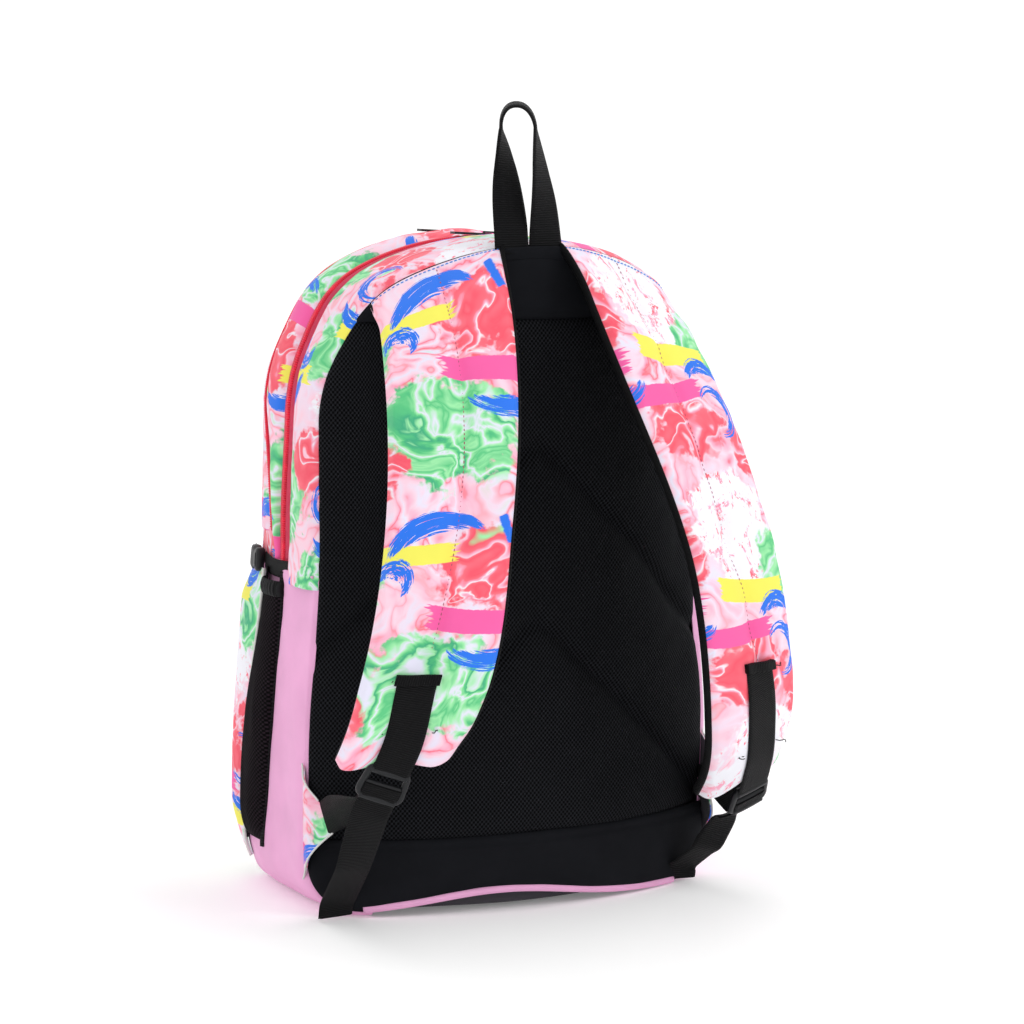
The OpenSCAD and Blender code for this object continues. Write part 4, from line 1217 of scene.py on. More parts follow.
def net_pocket(side):
    """A stretch-net bottle pocket with an elastic mouth and bound edges."""
    word = WORD[side]
    a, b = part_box("mesh_pocket_" + word)
    z0, z1 = a.z + 4 * MM, b.z
    corner = 26 * MM
    z = np.concatenate([z0 + corner * (1 - np.cos(np.linspace(0, math.pi / 2, 12))),
                        np.linspace(z0 + corner, z1, 70)[1:]])
    y0, y1 = net_edges(z, z0, z1)
    sag = 10 * MM * np.sqrt(np.clip(1 - (1 - np.clip((z - z0) / corner, 0, 1)) ** 2, 0.01, 1))
    sag = sag * (1 - 0.35 * smooth(z, z1 - 90 * MM, z1))
    q = np.linspace(0, math.pi, 41)[:, None]
    y = (y0 + y1) / 2 - (y1 - y0) / 2 * squared(np.cos(q), 0.75)
    p = stack(0, y, z)
    hang = 2.0 * MM * folds(p, 30 * MM, 201 + side, 3, (1, 1, 0.2))
    hang = hang + 1.5 * MM * folds(p, 70 * MM, 205, 2, (1, 1, 0.5))
    x = HALF_W + 2.2 * MM + (sag + hang) * np.abs(np.sin(q)) ** 0.8
    obj = sheet("net_pocket_" + word, stack(side * x, y, z), stack(y * 1.15, z), NET, None, "pack",
                flip=side > 0, thickness=0.7 * MM)
    mark(obj, "pocket_mesh", "mesh_pocket_" + word)

    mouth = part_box("pocket_elastic_" + word)[1].z
    k = np.linspace(0, 1, 9)
    y = y[:, -1:]
    pleat = 0.4 * MM * np.sin(y * 2 * math.pi / (4 * MM))
    x = x[:, -1:] + (1.2 * MM + pleat) * np.sin(math.pi * k)
    z = z1 - 2 * MM + (mouth - z1 + 1 * MM) * k
    points, uv = stack(side * x, y, z), stack(z, y * 1.1)
    obj = sheet("pocket_elastic_skin_" + word, points, uv, ELASTIC, None, "pack", side > 0, 1.6 * MM)
    mark(obj, "black_webbing", "pocket_elastic_" + word)

    z = np.linspace(z0 - 3 * MM, mouth + 6 * MM, 70)
    rear, front = net_edges(z, z0, z1)
    bindings = (("front", front - 2 * MM, 9 * MM, 0.35), ("rear", rear + 1 * MM, 4 * MM, -0.3))
    for tag, y, wide, tilt in bindings:
        centre = stack(side * (HALF_W + 4.4 * MM), y, z)
        obj = flat_webbing(f"net_binding_{tag}_{word}", centre, (side * -tilt, 1, 0), (side, tilt, 0), wide,
                           1.6 * MM, ELASTIC, "pack")
        mark(obj, "black_webbing")
    pocket_wrap(side, z0, z1)


def pocket_wrap(side, z0, z1):
    """The side of the front pocket's cloth that wraps round to the net pocket, with its white piping."""
    foot = 18 * MM
    z = np.linspace(foot, FOLD_Z - 25 * MM, 80)
    v = np.linspace(0, 1, 33)[:, None]
    _, front = net_edges(z, z0, z1)
    y = front + 2 * MM + (Y_FRONT + 3 * MM - front) * v
    ends = smooth(z, foot, 60 * MM) * (1 - smooth(z, FOLD_Z - 50 * MM, FOLD_Z - 25 * MM))
    swell = 7.5 * MM * np.sin(math.pi * np.clip(v * 0.72 + 0.02, 0, 1)) * ends
    crease = 1.4 * MM * folds(stack(0, y, z), 40 * MM, 221 + side, 3, (1, 1, 0.6)) * np.clip(v * 6, 0, 1)
    x = HALF_W + 1.6 * MM + 3.0 * MM * np.minimum(1, (1 - v) * 4) + swell + crease
    x = x - (FOOT_R - rise(FOOT_R, np.maximum(FOOT_R - z, 0)))
    points, uv = stack(side * x, y, z), stack(side * y, z)
    obj = sheet("pocket_wrap_" + WORD[side], points, uv, PRINT_FRONT, LINING, "pack", flip=side < 0)
    mark(obj, "printed_cloth")
    cord = stack(side * (x[0] + 1.0 * MM), y[0] + 1.0 * MM, z)
    mark(tube("wrap_piping_" + WORD[side], cord, 1.3 * MM, PIPING, "pack", 8), "white_piping")


def side_straps(side):
    """The short compression webbing above the bottle pocket."""
    word = WORD[side]
    a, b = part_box("side_webbing_" + word)
    arc = np.sin(np.linspace(0, math.pi, 24))
    centre = stack(side * (HALF_W + 2.4 * MM + 1.0 * MM * arc), np.linspace(a.y, b.y - 1 * MM, 24),
                   (a.z + b.z) / 2 - 2 * MM * arc)
    obj = flat_webbing("side_strap_" + word, centre, (0, 0, 1), (side, 0, 0), b.z - a.z, 1.6 * MM, WEBBING,
                       "pack")
    mark(obj, "black_webbing", "side_webbing_" + word)


def dress(node, material, width):
    """Keeps a CAD part and gives it softened edges and its own material."""
    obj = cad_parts[node]
    obj.data.materials.clear()
    obj.data.materials.append(material)
    bevel = obj.modifiers.new("Soft edges", "BEVEL")
    bevel.width = width
    bevel.segments = 3
    bevel.limit_method = "ANGLE"
    bevel.angle_limit = math.radians(32)
    for poly in obj.data.polygons:
        poly.use_smooth = False


BLOCK_SIDES = 24


def lozenge(name, rings, side):
    """A moulded block: rounded rings (y, x, z, half thickness, half height) joined in order."""
    q = np.linspace(0, 2 * math.pi, BLOCK_SIDES, endpoint=False)
    cx, cz = squared(np.cos(q), 0.45), squared(np.sin(q), 0.45)
    verts = [(side * (x + thick * u), y, z + tall * w)
             for y, x, z, thick, tall in rings for u, w in zip(cx, cz)]
    faces = [face[::-1] if side > 0 else face for face in block_faces(0, len(rings), BLOCK_SIDES)]
    last = BLOCK_SIDES * (len(rings) - 1)
    ends = (tuple(range(BLOCK_SIDES)), tuple(range(last, last + BLOCK_SIDES))[::-1])
    faces += [end if side > 0 else end[::-1] for end in ends]
    return new_object(name, mesh_from(name, verts, faces, [PLASTIC]))


SOCKET_SHAPE = ((0.0, 2.2, 0.72), (0.03, 3.0, 0.86), (0.10, 3.6, 0.96), (0.22, 3.8, 1.0), (0.34, 3.7, 0.93),
                (0.46, 3.5, 0.80), (0.66, 3.5, 0.78), (0.78, 3.8, 0.90), (0.88, 4.0, 1.0), (0.97, 3.7, 1.0),
                (1.0, 3.0, 0.92))
RIDGE_SHAPE = ((0.12, 0.2, 0.5), (0.16, 0.9, 0.62), (0.24, 0.9, 0.62), (0.28, 0.2, 0.5))
PRONG_SHAPE = ((0, 0.55, 0.10), (0.1, 0.62, 0.20), (0.4, 0.66, 0.22), (0.75, 0.5, 0.16), (1, 0.5, 0.2))
HEAD_SHAPE = ((0, 2.8, 0.86), (0.08, 3.4, 0.93), (0.5, 3.5, 0.95), (0.9, 3.2, 0.92), (1.0, 2.4, 0.82))


def side_buckle(side):
    """A side-release buckle: socket with finger cut-outs, plug with two prongs and its webbing end."""
    word = WORD[side]
    a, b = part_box("buckle_socket_" + word)
    x = HALF_W + 5.6 * MM
    z, tall = (a.z + b.z) / 2, (b.z - a.z) / 2

    def block(name, y0, y1, shape, raised=0.0):
        """A block from y0 to y1. Each row of shape is a place, half thickness and share of the height."""
        rings = [(y0 + (y1 - y0) * s, x + raised, z, thick * MM, tall * h) for s, thick, h in shape]
        return lozenge(name, rings, side)

    parts = [block("socket", a.y, b.y, SOCKET_SHAPE), block("ridge", a.y, b.y, RIDGE_SHAPE, 3.4 * MM)]
    mark(join_meshes("buckle_socket_skin_" + word, parts, "pack"), "black_plastic", "buckle_socket_" + word)
    parts = []
    for way in (-1, 1):
        rings = [(b.y - 15 * MM + 16 * MM * s, x, z + way * tall * off, 1.7 * MM, tall * h)
                 for s, off, h in PRONG_SHAPE]
        parts.append(lozenge("prong", rings, side))
    parts.append(block("head", b.y + 0.4 * MM, b.y + 9.4 * MM, HEAD_SHAPE))
    obj = join_meshes("buckle_plug_skin_" + word, parts, "buckle_plug_" + word)
    mark(obj, "black_plastic", "buckle_plug_" + word)
    q = np.linspace(0, 1, 24)
    centre = stack(side * (x - 1.6 * MM * q), b.y + 7 * MM + 19 * MM * q, z + 1.0 * MM * np.sin(q * 3))
    obj = flat_webbing("buckle_tail_" + word, centre, (0, 0, 1), (side, 0, 0), 11.5 * MM, 1.6 * MM, WEBBING,
                       "buckle_plug_" + word)
    mark(obj, "black_webbing")


for way in (-1, 1):
    net_pocket(way)
    side_straps(way)
    side_buckle(way)
for way in (-1, 1):
    for which in ("main", "second"):
        dress(f"{which}_slider_{WORD[way]}", METAL, 0.6 * MM)
        dress(f"{which}_pull_{WORD[way]}", METAL, 0.4 * MM)
dress("pocket_slider", METAL, 0.6 * MM)
dress("pocket_pull", METAL, 0.4 * MM)


# ---------------------------------------------------------------- grab loop

def grab_loop():
    """One length of webbing: two legs side by side, each turning until the bend at the top is edge-on."""
    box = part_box("grab_loop")
    foot_z = TOP - 6 * MM
    wide, high = 11.4 * MM, 16 * MM
    top_z = box[1].z - 9.5 * MM - high
    foot_gap, twist = 12.4 * MM, math.radians(25)
    face = np.array([math.cos(twist), -math.sin(twist), 0.0])
    s = np.linspace(0, 1, 46)[:, None]
    drift = np.array([-1.5 * MM, 13 * MM, 0.0]) * s ** 1.5
    middle = np.array([-6.5 * MM, Y_SKIN - 2.4 * MM, foot_z]) + s * np.array([0, 0, top_z - foot_z]) + drift
    gap = foot_gap + (wide - foot_gap) * smooth(s, 0.0, 0.9)
    facing = unit(np.array([1.0, 0.0, 0.0]) * (1 - smooth(s, 0.1, 0.7)) + face * smooth(s, 0.1, 0.7))
    left = middle - facing * gap
    right = middle + facing * gap
    q = np.linspace(0, math.pi, 24)[1:-1, None]
    lift = np.array([-0.5 * MM, 2 * MM, high])
    cap = middle[-1] - face * wide * squared(np.cos(q), 0.9) + lift * np.sin(q)
    path = np.concatenate([left, cap, right[::-1]])
    s = s[:, 0]
    edge_on = math.radians(65)
    a = edge_on * np.concatenate([np.clip((s - 0.2) / 0.8, 0, 1) ** 1.6, np.ones(len(q)), s[::-1] ** 1.15])
    tip = 0.11 * np.concatenate([s ** 3, np.ones(len(q)), s[::-1] ** 3])
    w = stack(np.cos(a), np.sin(a), tip)
    tangent = unit(np.gradient(path, axis=0))
    w = unit(w - tangent * np.sum(w * tangent, -1, keepdims=True) * 0.75)
    out = unit(np.cross(tangent, w))
    obj = strips("grab_loop_skin", (path, w, out), webbing_section(24.5 * MM, 2.4 * MM), WEBBING, "grab_loop")
    mark(obj, "black_webbing", "grab_loop")
    x = np.linspace(-33 * MM, 20 * MM, 29)
    centre = stack(x, back_y(x) - 3.4 * MM, arch_top(x) - 5.5 * MM)
    obj = flat_webbing("loop_seam_tape", centre, (0, -0.25, 1), (0, -1, -0.25), 9 * MM, 1.2 * MM, BLACK_CLOTH_AND_BASE_SHADE,
                       "pack")
    mark(obj, "black_cloth")


grab_loop()


# ---------------------------------------------------------------- shoulder straps

STRAP_PATH = np.array([[71, -113, 433], [79, -180, 370], [112, -251, 195], [140, -160, 97]]) * MM
SEAM_IN = {-1: 24 * MM, 1: 16 * MM}
SEAM_OUT = {-1: 116 * MM, 1: 107 * MM}
SHIFT = {-1: 0.0, 1: -10 * MM}
END_IN = {-1: 14 * MM, 1: 43 * MM}
NIP_IN = {-1: 13 * MM, 1: 7 * MM}
NIP_OUT = {-1: 5 * MM, 1: 10 * MM}
END_OUT = {-1: 15 * MM, 1: 3 * MM}
LOCK_DROP = {-1: 7 * MM, 1: 19 * MM}
TAB_AT = {-1: 0.835, 1: 0.775}
TAB_U = {-1: 0.10, 1: -0.10}
REACH = {-1: 0.9, 1: 1.0}
STRAP_N = 129
STRAP_T = np.linspace(0, 1, STRAP_N)


def strap_centre(t):
    """The strap's middle line, a cubic curve from its top seam to the lock."""
    t = np.asarray(t, float)[..., None]
    p = STRAP_PATH
    return (1 - t) ** 3 * p[0] + 3 * (1 - t) ** 2 * t * p[1] + 3 * (1 - t) * t ** 2 * p[2] + t ** 3 * p[3]


def strap_frame(side, t):
    """Centre, across towards the outer edge, outward normal and downwards at t, before mirroring."""
    t = np.asarray(t, float) * REACH[side]
    e = 1e-4
    down = unit(strap_centre(t + e) - strap_centre(t - e))
    ease = smooth(t, 0, 0.4 * REACH[side])
    drop = np.radians(22 * (1 - ease))
    turn = np.radians(14 + 6 * ease)
    w = stack(np.cos(turn) * np.cos(drop), np.sin(turn) * np.cos(drop), -np.sin(drop))
    out = unit(np.cross(down, w))
    moved = SHIFT[side] * (1 - smooth(t, 0.12, 0.62))
    return strap_centre(t) + moved[..., None] * np.array([1.0, 0.0, 0.0]), w, out, down


def strap_half(t, u=1.0):
    """Half width of the strap; the inner half is a little wider towards the lower end."""
    half = np.interp(t, [0, 0.5, 0.85, 1], [45.5 * MM, 41 * MM, 38.5 * MM, 34 * MM])
    return half + 6 * MM * smooth(t, 0.55, 0.85) * smooth(-np.asarray(u, float), 0.0, 1.0)


STRAP_LENGTH = {side: run_length(strap_centre(STRAP_T * REACH[side])) for side in (-1, 1)}


def lock_frame(side):
    """Bar centre, across, outwards and downwards of the ladder lock, before mirroring."""
    c, _, out, down = (k[0] for k in strap_frame(side, np.array([1.0])))
    return c + down * LOCK_DROP[side] + out * 8.3 * MM, unit(np.cross(out, down)), out, down


def quilt_line(t):
    """Where the central quilting runs, as a share of the half width (positive is outwards)."""
    return -0.16 * np.sin(math.pi * np.clip(np.asarray(t) / 0.85, 0, 1)) ** 1.5


def strap_surface(side, t, u, v):
    """Points at length share t, width share u and height v above the strap's middle surface."""
    c, w, out, down = strap_frame(side, t)
    u, v = np.asarray(u, float), np.asarray(v, float)
    tilt = 5 * MM * smooth(t, 0.88, 1.0)
    end = smooth(t, 0.78, 1.0)
    shear = np.where(u < 0, END_IN[side], END_OUT[side]) * np.abs(u) ** 1.3
    nip = np.where(u > 0, NIP_OUT[side], NIP_IN[side])
    corner = nip * np.clip((np.abs(u) - 0.62) / 0.38, 0, 1) ** 2.4 * smooth(t, 0.9, 1.0)
    p = c + w * (u * strap_half(t, u))[..., None] + out * (v - tilt * u ** 2)[..., None]
    p = p + down * (shear * end - corner)[..., None]
    seam_x = SEAM_IN[side] + (SEAM_OUT[side] - SEAM_IN[side]) * (u + 1) / 2
    seam = stack(seam_x, back_y(seam_x) - 1.2 * MM, arch_top(seam_x) - 0.6 * MM)
    seam = seam + np.array([0, -1.0, 0.3]) * (v * 0.22)[..., None]
    k = smooth(t, -0.02, 0.11)[..., None]
    return seam * (1 - k) + p * k


def pad_height(t, u, side):
    """Height of the printed face: crowned, pressed in at the quilting line and puckered beside it."""
    crown = 7.4 * MM * np.clip(1 - np.abs(u) ** 3.2, 0, 1) ** 0.55 + 1.6 * MM
    off = (u - quilt_line(t)) * strap_half(t)
    sewn = smooth(t, 0.005, 0.03) * (1 - smooth(t, 0.80, 0.84))
    groove = 5.6 * MM * np.exp(-(np.abs(off) / (6.0 * MM)) ** 1.15) * sewn
    p = stack(t * STRAP_LENGTH[side][-1], u * strap_half(t), 0)
    pucker = 2.3 * MM * folds(p, 24 * MM, 301 + side, 2, (1, 0.35, 1)) * bump(off, 0, 17 * MM) * sewn
    edge = np.clip(1 - np.abs(u), 0, 1)
    broad = 2.0 * MM * folds(p, 75 * MM, 311 + side, 3, (1, 0.8, 1)) * np.clip(edge * 4, 0, 1)
    rim = 1.3 * MM * folds(p, 19 * MM, 321 + side, 2, (1, 0.3, 1)) * bump(edge, 0, 0.22)
    rim = rim * np.clip(edge * 12, 0, 1)
    top = 1.8 * MM * bump(t, 0.022, 0.012)
    flat = 0.3 + 0.7 * smooth(t, 0.0, 0.14)
    wrap = 5.0 * MM * smooth(u, 0.90, 1.0) + 1.8 * MM * smooth(-u, 0.92, 1.0)
    return (crown - groove + pucker + broad + rim - top) * flat - wrap


def blend_top(obj, side):
    """Bakes the strap piece's transform into its mesh."""
    mid = side * (SEAM_IN[side] + SEAM_OUT[side]) / 2
    start, end = (mid, Y_SEAM - 28 * MM, TOP - 12 * MM), (mid, Y_SEAM - 62 * MM, TOP - 42 * MM)
    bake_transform(obj)
    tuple(start)
    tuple(end)


def capsules(name, places, directions, normals, length, radius, material):
    """A row of stitches: short rounded threads lying along directions."""
    ring = np.linspace(0, 2 * math.pi, 6, endpoint=False)
    along = np.array([-0.5, -0.36, 0.0, 0.36, 0.5]) * length
    wide = np.array([0.25, 0.85, 1.0, 0.85, 0.25]) * radius
    sink = np.array([-0.9, -0.1, 0.3, -0.1, -0.9]) * radius
    verts, faces = [], []
    for c, d, n in zip(places, directions, normals):
        side = np.cross(n, d)
        faces += block_faces(len(verts), len(along), len(ring))
        for shift, reach, depth in zip(along, wide, sink):
            for a in ring:
                verts.append(c + d * shift + side * math.cos(a) * reach + n * (math.sin(a) * reach + depth))
    corner_uv = [(verts[v][0], verts[v][2]) for f in faces for v in f]
    return new_object(name, mesh_from(name, verts, faces, [material], corner_uv))


def along_strap(side, t, u, height):
    """Points of the strap's surface on the bag's left or right."""
    return strap_surface(side, t, u, height) * np.array([side, 1, 1])


def stitch_row(side, name, t, u, lift, length, radius, material):
    """A row of stitches on the strap's printed face."""
    line = along_strap(side, t, u, pad_height(t, u, side) + lift)
    out = strap_frame(side, t)[2] * np.array([side, 1, 1])
    row = capsules(name + WORD[side], line, unit(np.gradient(line, axis=0)), out, length, radius, material)
    blend_top(mark(row, "printed_cloth"), side)


def shoulder_strap(side):
    """The padded strap: printed face, mesh back, bound edge and its two rows of stitches."""
    word = WORD[side]
    print_cloth = PRINT_LEFT if side < 0 else PRINT_RIGHT
    spacing = math.pi / 2 * 0.96
    t, u = spread(STRAP_T[:, None], np.sin(np.linspace(-1, 1, 57) * spacing) / math.sin(spacing))
    face = along_strap(side, t, u, pad_height(t, u, side))
    uv = stack(side * u * strap_half(t), np.interp(t, STRAP_T, STRAP_LENGTH[side]))
    pad = sheet("strap_face_" + word, face, uv, print_cloth, BLACK_CLOTH_AND_BASE_SHADE, flip=side < 0)
    blend_top(mark(pad, "printed_cloth", "strap_pad_" + word), side)

    under = -5.0 * MM - 1.0 * MM * np.clip(1 - np.abs(u) ** 4, 0, 1)
    lining = sheet("strap_back_" + word, along_strap(side, t, u * 0.985, under), uv, AIR_MESH, flip=side > 0)
    blend_top(mark(lining, "air_mesh", "strap_lining_" + word), side)

    down = STRAP_T[2:]
    across = np.linspace(1, -1, 41)[1:-1]
    rim_t = np.concatenate([down, np.ones(len(across)), down[::-1]])
    rim_u = np.concatenate([np.ones(len(down)), across, -np.ones(len(down))])
    inner = smooth(-rim_u, -0.2, 0.6)
    rim = along_strap(side, rim_t, rim_u * (0.975 + 0.015 * inner), (-4.4 + 2.3 * inner) * MM)
    length = run_length(rim)
    thick = np.interp(np.linspace(0, 1, 240), length / length[-1], inner)
    radius = (1.7 + 1.7 * thick) * MM
    cord = tube("strap_edge_" + word, resample(rim, 240), radius, BINDING, flat=0.55)
    blend_top(mark(cord, "black_webbing", "strap_binding_" + word), side)

    pitch = 3.1 * MM
    count = int((STRAP_LENGTH[side][-1] * 0.79) / pitch)
    t = np.interp(np.arange(3, count) * pitch, STRAP_LENGTH[side], STRAP_T)
    stitch_row(side, "strap_quilting_", t, quilt_line(t), 0.5 * MM, 2.3 * MM, 0.36 * MM, PINK_THREAD)
    t, u = np.full(30, 0.024), np.linspace(-0.93, 0.93, 30)
    stitch_row(side, "strap_top_stitches_", t, u, 0.6 * MM, 2.4 * MM, 0.42 * MM, BLUE_THREAD)


def bands(name, points, across, outwards, side, width, body):
    """A length of webbing through the given points, which are on the right; side mirrors it."""
    n = 60
    path = np.array(points, float)
    s = run_length(path)
    q = np.linspace(0, s[-1], n)
    c = resample(path, n)
    for _ in range(6):
        c[1:-1] = (c[:-2] + 2 * c[1:-1] + c[2:]) / 4
    w = unit(np.stack([np.interp(q, s, np.array(across)[:, k]) for k in range(3)], -1))
    tangent = unit(np.gradient(c, axis=0))
    w = unit(w - tangent * np.sum(w * tangent, -1, keepdims=True))
    out = np.cross(tangent, w)
    if np.sum(out * np.array(outwards)) < 0:
        out, w = -out, -w
    mirror = np.array([side, 1, 1])
    frames = (c * mirror, w * mirror, out * mirror)
    obj = strips(name, frames, webbing_section(width, 1.9 * MM), WEBBING, body)
    if side < 0:
        obj.data.flip_normals()
    return obj


def strap_hardware(side):
    """The webbing at the strap's lower end: the lock's strip and tab, the tail, the anchor, loose threads."""
    word = WORD[side]
    body = "strap_" + word
    at, across, out, down = lock_frame(side)
    mirror = np.array([side, 1, 1])

    def on_strap(t, u, height):
        """One point of the strap's surface."""
        return strap_surface(side, np.array([t]), np.array([u]), np.array([height]))[0]

    t = np.linspace(TAB_AT[side], 0.975, 24)
    aside = TAB_U[side] * (1 - smooth(t, TAB_AT[side], 0.97))
    on_pad = strap_surface(side, t, aside, 10.0 * MM + 0.5 * MM * np.sin(t * 40))
    points = [*on_pad, at + out * 2.6 * MM - down * 3 * MM, at + out * 1.6 * MM + down * 4 * MM]
    lines = [*strap_frame(side, t)[1], across, across]
    obj = bands("strap_webbing_skin_" + word, points, lines, out, side, WEBBING_W, body)
    mark(obj, "black_webbing", "strap_webbing_" + word)

    x = np.linspace(-14.3 * MM, 14.3 * MM, 15)
    _, w, lift, along = (k[0] for k in strap_frame(side, np.array([TAB_AT[side]])))
    wave = 0.5 * MM * np.sin(x * 300)[:, None]
    tab = (on_strap(TAB_AT[side], TAB_U[side], 11.2 * MM) + w * x[:, None] + lift * wave) * mirror
    across_tab, out_tab = along * mirror, lift * mirror
    obj = flat_webbing("strap_tab_" + word, tab, across_tab, out_tab, 7.5 * MM, 3.8 * MM, WEBBING, body)
    if side > 0:
        obj.data.flip_normals()
    mark(obj, "black_webbing")

    low_end = np.array([137 if side < 0 else 123, -93, 2.5]) * MM
    hang = at + down * 36 * MM + (out * 1.2 * MM if side < 0 else np.array([-7, 9, 0]) * MM)
    sag = (hang + low_end) / 2 + np.array([0.5, -4.0, 0.0]) * MM
    level = np.array([0.985, -0.10, 0.14])
    points = [at + down * 12 * MM + out * 2.6 * MM, at + down * 24 * MM + out * 2.0 * MM, hang, sag,
              low_end + np.array([0, -2, 8]) * MM, low_end]
    obj = bands("tail_skin_" + word, points, [across] * 3 + [level] * 3, out, side, WEBBING_W, body)
    mark(obj, "black_webbing", "tail_webbing_" + word)

    tip = np.array([145, -89, 68]) * MM
    flat = np.array([0.0, 0.5, 0.86])
    points = [tip + np.array([0, 8, 0]) * MM, tip, tip + np.array([-1.5, -22, 10]) * MM,
              at + down * 30 * MM - out * 3.5 * MM, at + down * 20 * MM - out * 2.2 * MM]
    lines = [flat, flat, unit(np.array([0.35, 0.2, 1.0])), across, across]
    obj = bands("anchor_skin_" + word, points, lines, (1.0, -0.4, 0.2), side, WEBBING_W - 1 * MM, None)
    mark(obj, "black_webbing", "anchor_webbing_" + word)
    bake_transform(obj)

    rng = np.random.default_rng(7 + side)
    for k, (t, u) in enumerate(((TAB_AT[side], 0.5), (0.93, 0.42), (0.93, -0.42))):
        curl = [on_strap(t, u, 9.0 * MM)]
        step = w * (0.5 if u > 0 else -0.5) + along * 0.3
        for _ in range(7):
            step = unit(step + rng.normal(0, 0.55, 3))
            curl.append(curl[-1] + step * 1.5 * MM)
        curl = resample(np.array(curl), 22) * mirror
        mark(tube(f"loose_thread_{k}_{word}", curl, 0.35 * MM, BLACK_THREAD, body, 6), "black_webbing")


def ladder_lock(side):
    """Moulded ladder lock: a rounded frame, a fat top bar, a slim middle bar and a ridged lower bar."""
    at, across, out, down = lock_frame(side)
    mirror = np.array([side, 1, 1])
    half, foot, r, flare, lift = 14.2 * MM, 23.0 * MM, 5.0 * MM, 1.0 * MM, 0.2 * MM
    corners = ((flare - half, 0, -1, -1), (half - flare, 0, 1, -1), (half, foot, 1, 1), (-half, foot, -1, 1))
    path = []
    for k, (x, y, sx, sy) in enumerate(corners):
        start = math.pi * (1 + k / 2)
        for q in np.linspace(start, start + math.pi / 2, 8):
            path.append((x - sx * r + r * math.cos(q), y - sy * r + r * math.sin(q)))
    path = np.array(path)
    ring = at + across * path[:, :1] + down * path[:, 1:] + out * lift
    ring = resample(np.vstack([ring, ring[:1]]), 97)[:-1]
    parts = [tube("frame", ring * mirror, 2.3 * MM, PLASTIC, None, 12, True)]
    for y, radius, squeeze in ((1.2, 3.6, 0.72), (12.4, 2.2, 0.9), (22.0, 3.6, 0.72)):
        x = np.linspace(-half + 2 * MM, half - 2 * MM, 25)
        bow = 0.5 * MM * np.cos(x / half * math.pi / 2)
        line = at + across * x[:, None] + down * (y * MM) + out * (lift + bow)[:, None]
        parts.append(tube("bar", line * mirror, radius * MM, PLASTIC, None, 12, False, squeeze))
    obj = join_meshes("ladder_lock_skin_" + WORD[side], parts, "lock_" + WORD[side])
    mark(obj, "black_plastic", "ladder_lock_" + WORD[side])


def strap_wing(side):
    """The printed triangle sewn into the side seam, which holds the lower webbing."""
    word = WORD[side]
    a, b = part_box("strap_wing_" + word)
    s = np.linspace(0, 1, 25)[:, None]
    v = np.linspace(0, 1, 25)
    root_y, tip_y = Y_SEAM + 3 * MM, a.y - 11 * MM + 20 * MM * v
    root_low, root_high = a.z + 10 * MM, b.z - 11 * MM
    tip_low, tip_high = 67 * MM, 81 * MM
    low_z = root_low + (tip_low - root_low) * s ** 0.9
    high_z = root_high + (tip_high - root_high) * s ** 0.8
    y, z = root_y + (tip_y - root_y) * s, low_z + (high_z - low_z) * v
    x = HALF_W + 1.5 * MM + 1.5 * MM * smooth(s, 0, 0.3) - (17 - 9 * v) * MM * smooth(s, 0.3, 1.25)
    x = x + 0.8 * MM * folds(stack(0, y, z), 30 * MM, 401 + side, 2)
    obj = sheet("strap_wing_skin_" + word, stack(side * x, y, z), stack(y, z), PRINT_BAG, LINING, "pack",
                flip=side > 0, thickness=1.6 * MM)
    mark(obj, "printed_cloth", "strap_wing_" + word)
    for tag, col in (("top", -1), ("low", 0)):
        path = stack(side * (x[:, col] + 0.2 * MM), y[:, col], z[:, col])
        mark(tube(f"wing_edge_{tag}_{word}", path, 0.7 * MM, PIPING, "pack", 6), "white_piping")


for way in (-1, 1):
    shoulder_strap(way)
    strap_hardware(way)
    ladder_lock(way)
    strap_wing(way)


# ---------------------------------------------------------------- floor, light and camera

PURE_WHITE = (1, 1, 1, 1)


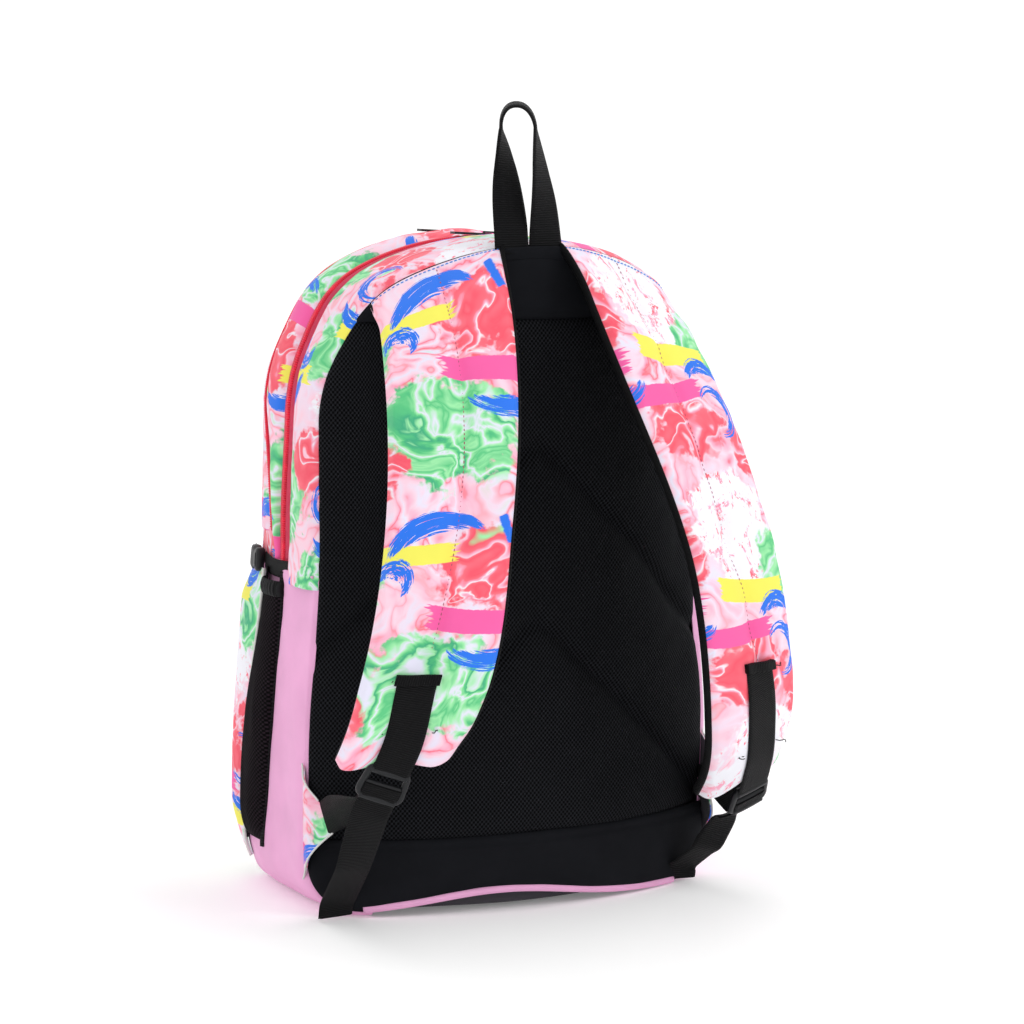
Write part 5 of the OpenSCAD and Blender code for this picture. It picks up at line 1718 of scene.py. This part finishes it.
def studio():
    """A seamless pale paper sweep, a white surround and three large soft lights."""
    plain = Shader("studio_paper", 0.9, 0.1)
    plain.set("Base Color", plain.worn(srgb(253, 253, 253), 0.004, 400))
    paper = plain.mat.node_tree.nodes["Principled BSDF"]
    paper.inputs["Emission Color"].default_value = PURE_WHITE
    paper.inputs["Emission Strength"].default_value = 0.15
    bend, reach, half, tall = 3.0, 6.0, 9.0, 9.0
    q = np.linspace(0, math.pi / 2, 16)[1:]
    y = np.concatenate([[-reach, bend], bend + bend * np.sin(q), [2 * bend]])
    z = np.concatenate([[0.0, 0.0], bend - bend * np.cos(q), [tall]])
    x = np.array([-half, half])[:, None]
    turn = math.radians(25)
    px = x * math.cos(turn) + y[None] * math.sin(turn)
    py = -x * math.sin(turn) + y[None] * math.cos(turn)
    points = stack(px, py, z)
    mesh = grid_mesh("paper_sweep", points, points[..., :2], [plain.mat])
    sweep = new_object("paper_sweep", mesh, settles=False)
    sweep.location.z = -0.5 * MM
    world = bpy.data.worlds.new("studio")
    world.use_nodes = True
    background = world.node_tree.nodes["Background"]
    background.inputs[0].default_value = PURE_WHITE
    nodes, links = world.node_tree.nodes, world.node_tree.links
    path = nodes.new("ShaderNodeLightPath")
    glow = nodes.new("ShaderNodeMapRange")
    glow.inputs["To Min"].default_value = 0.82
    glow.inputs["To Max"].default_value = 1.0
    links.new(path.outputs["Is Camera Ray"], glow.inputs["Value"])
    links.new(glow.outputs["Result"], background.inputs["Strength"])
    bpy.context.scene.world = world
    lights = (("key", (1.7, -2.4, 2.6), 1.6, 25),
              ("fill", (-2.6, -2.0, 1.9), 2.6, 8),
              ("top", (0.2, 0.6, 3.4), 2.8, 15))
    for name, place, size, power in lights:
        data = bpy.data.lights.new(name, "AREA")
        data.shape = "SQUARE"
        data.size = size
        data.energy = power
        light = bpy.data.objects.new(name, data)
        light.location = place
        aim = Vector((0, -0.05, 0.22)) - Vector(place)
        light.rotation_euler = aim.to_track_quat("-Z", "Y").to_euler()
        bpy.context.scene.collection.objects.link(light)


def camera():
    """A long lens, low on the left of the padded back, as in the photo."""
    azimuth, elevation, distance = math.radians(-25), math.radians(7), 2.2
    target = Vector((0.002, -0.075, 0.266))
    flat = math.cos(elevation)
    away = Vector((math.sin(azimuth) * flat, -math.cos(azimuth) * flat, math.sin(elevation)))
    data = bpy.data.cameras.new("camera")
    data.lens = 113.3
    data.sensor_width = 36
    cam = bpy.data.objects.new("camera", data)
    cam.location = target + away * distance
    cam.rotation_euler = (-away).to_track_quat("-Z", "Y").to_euler()
    bpy.context.scene.collection.objects.link(cam)
    bpy.context.scene.camera = cam


studio()
camera()
bpy.context.scene.view_settings.view_transform = "Standard"
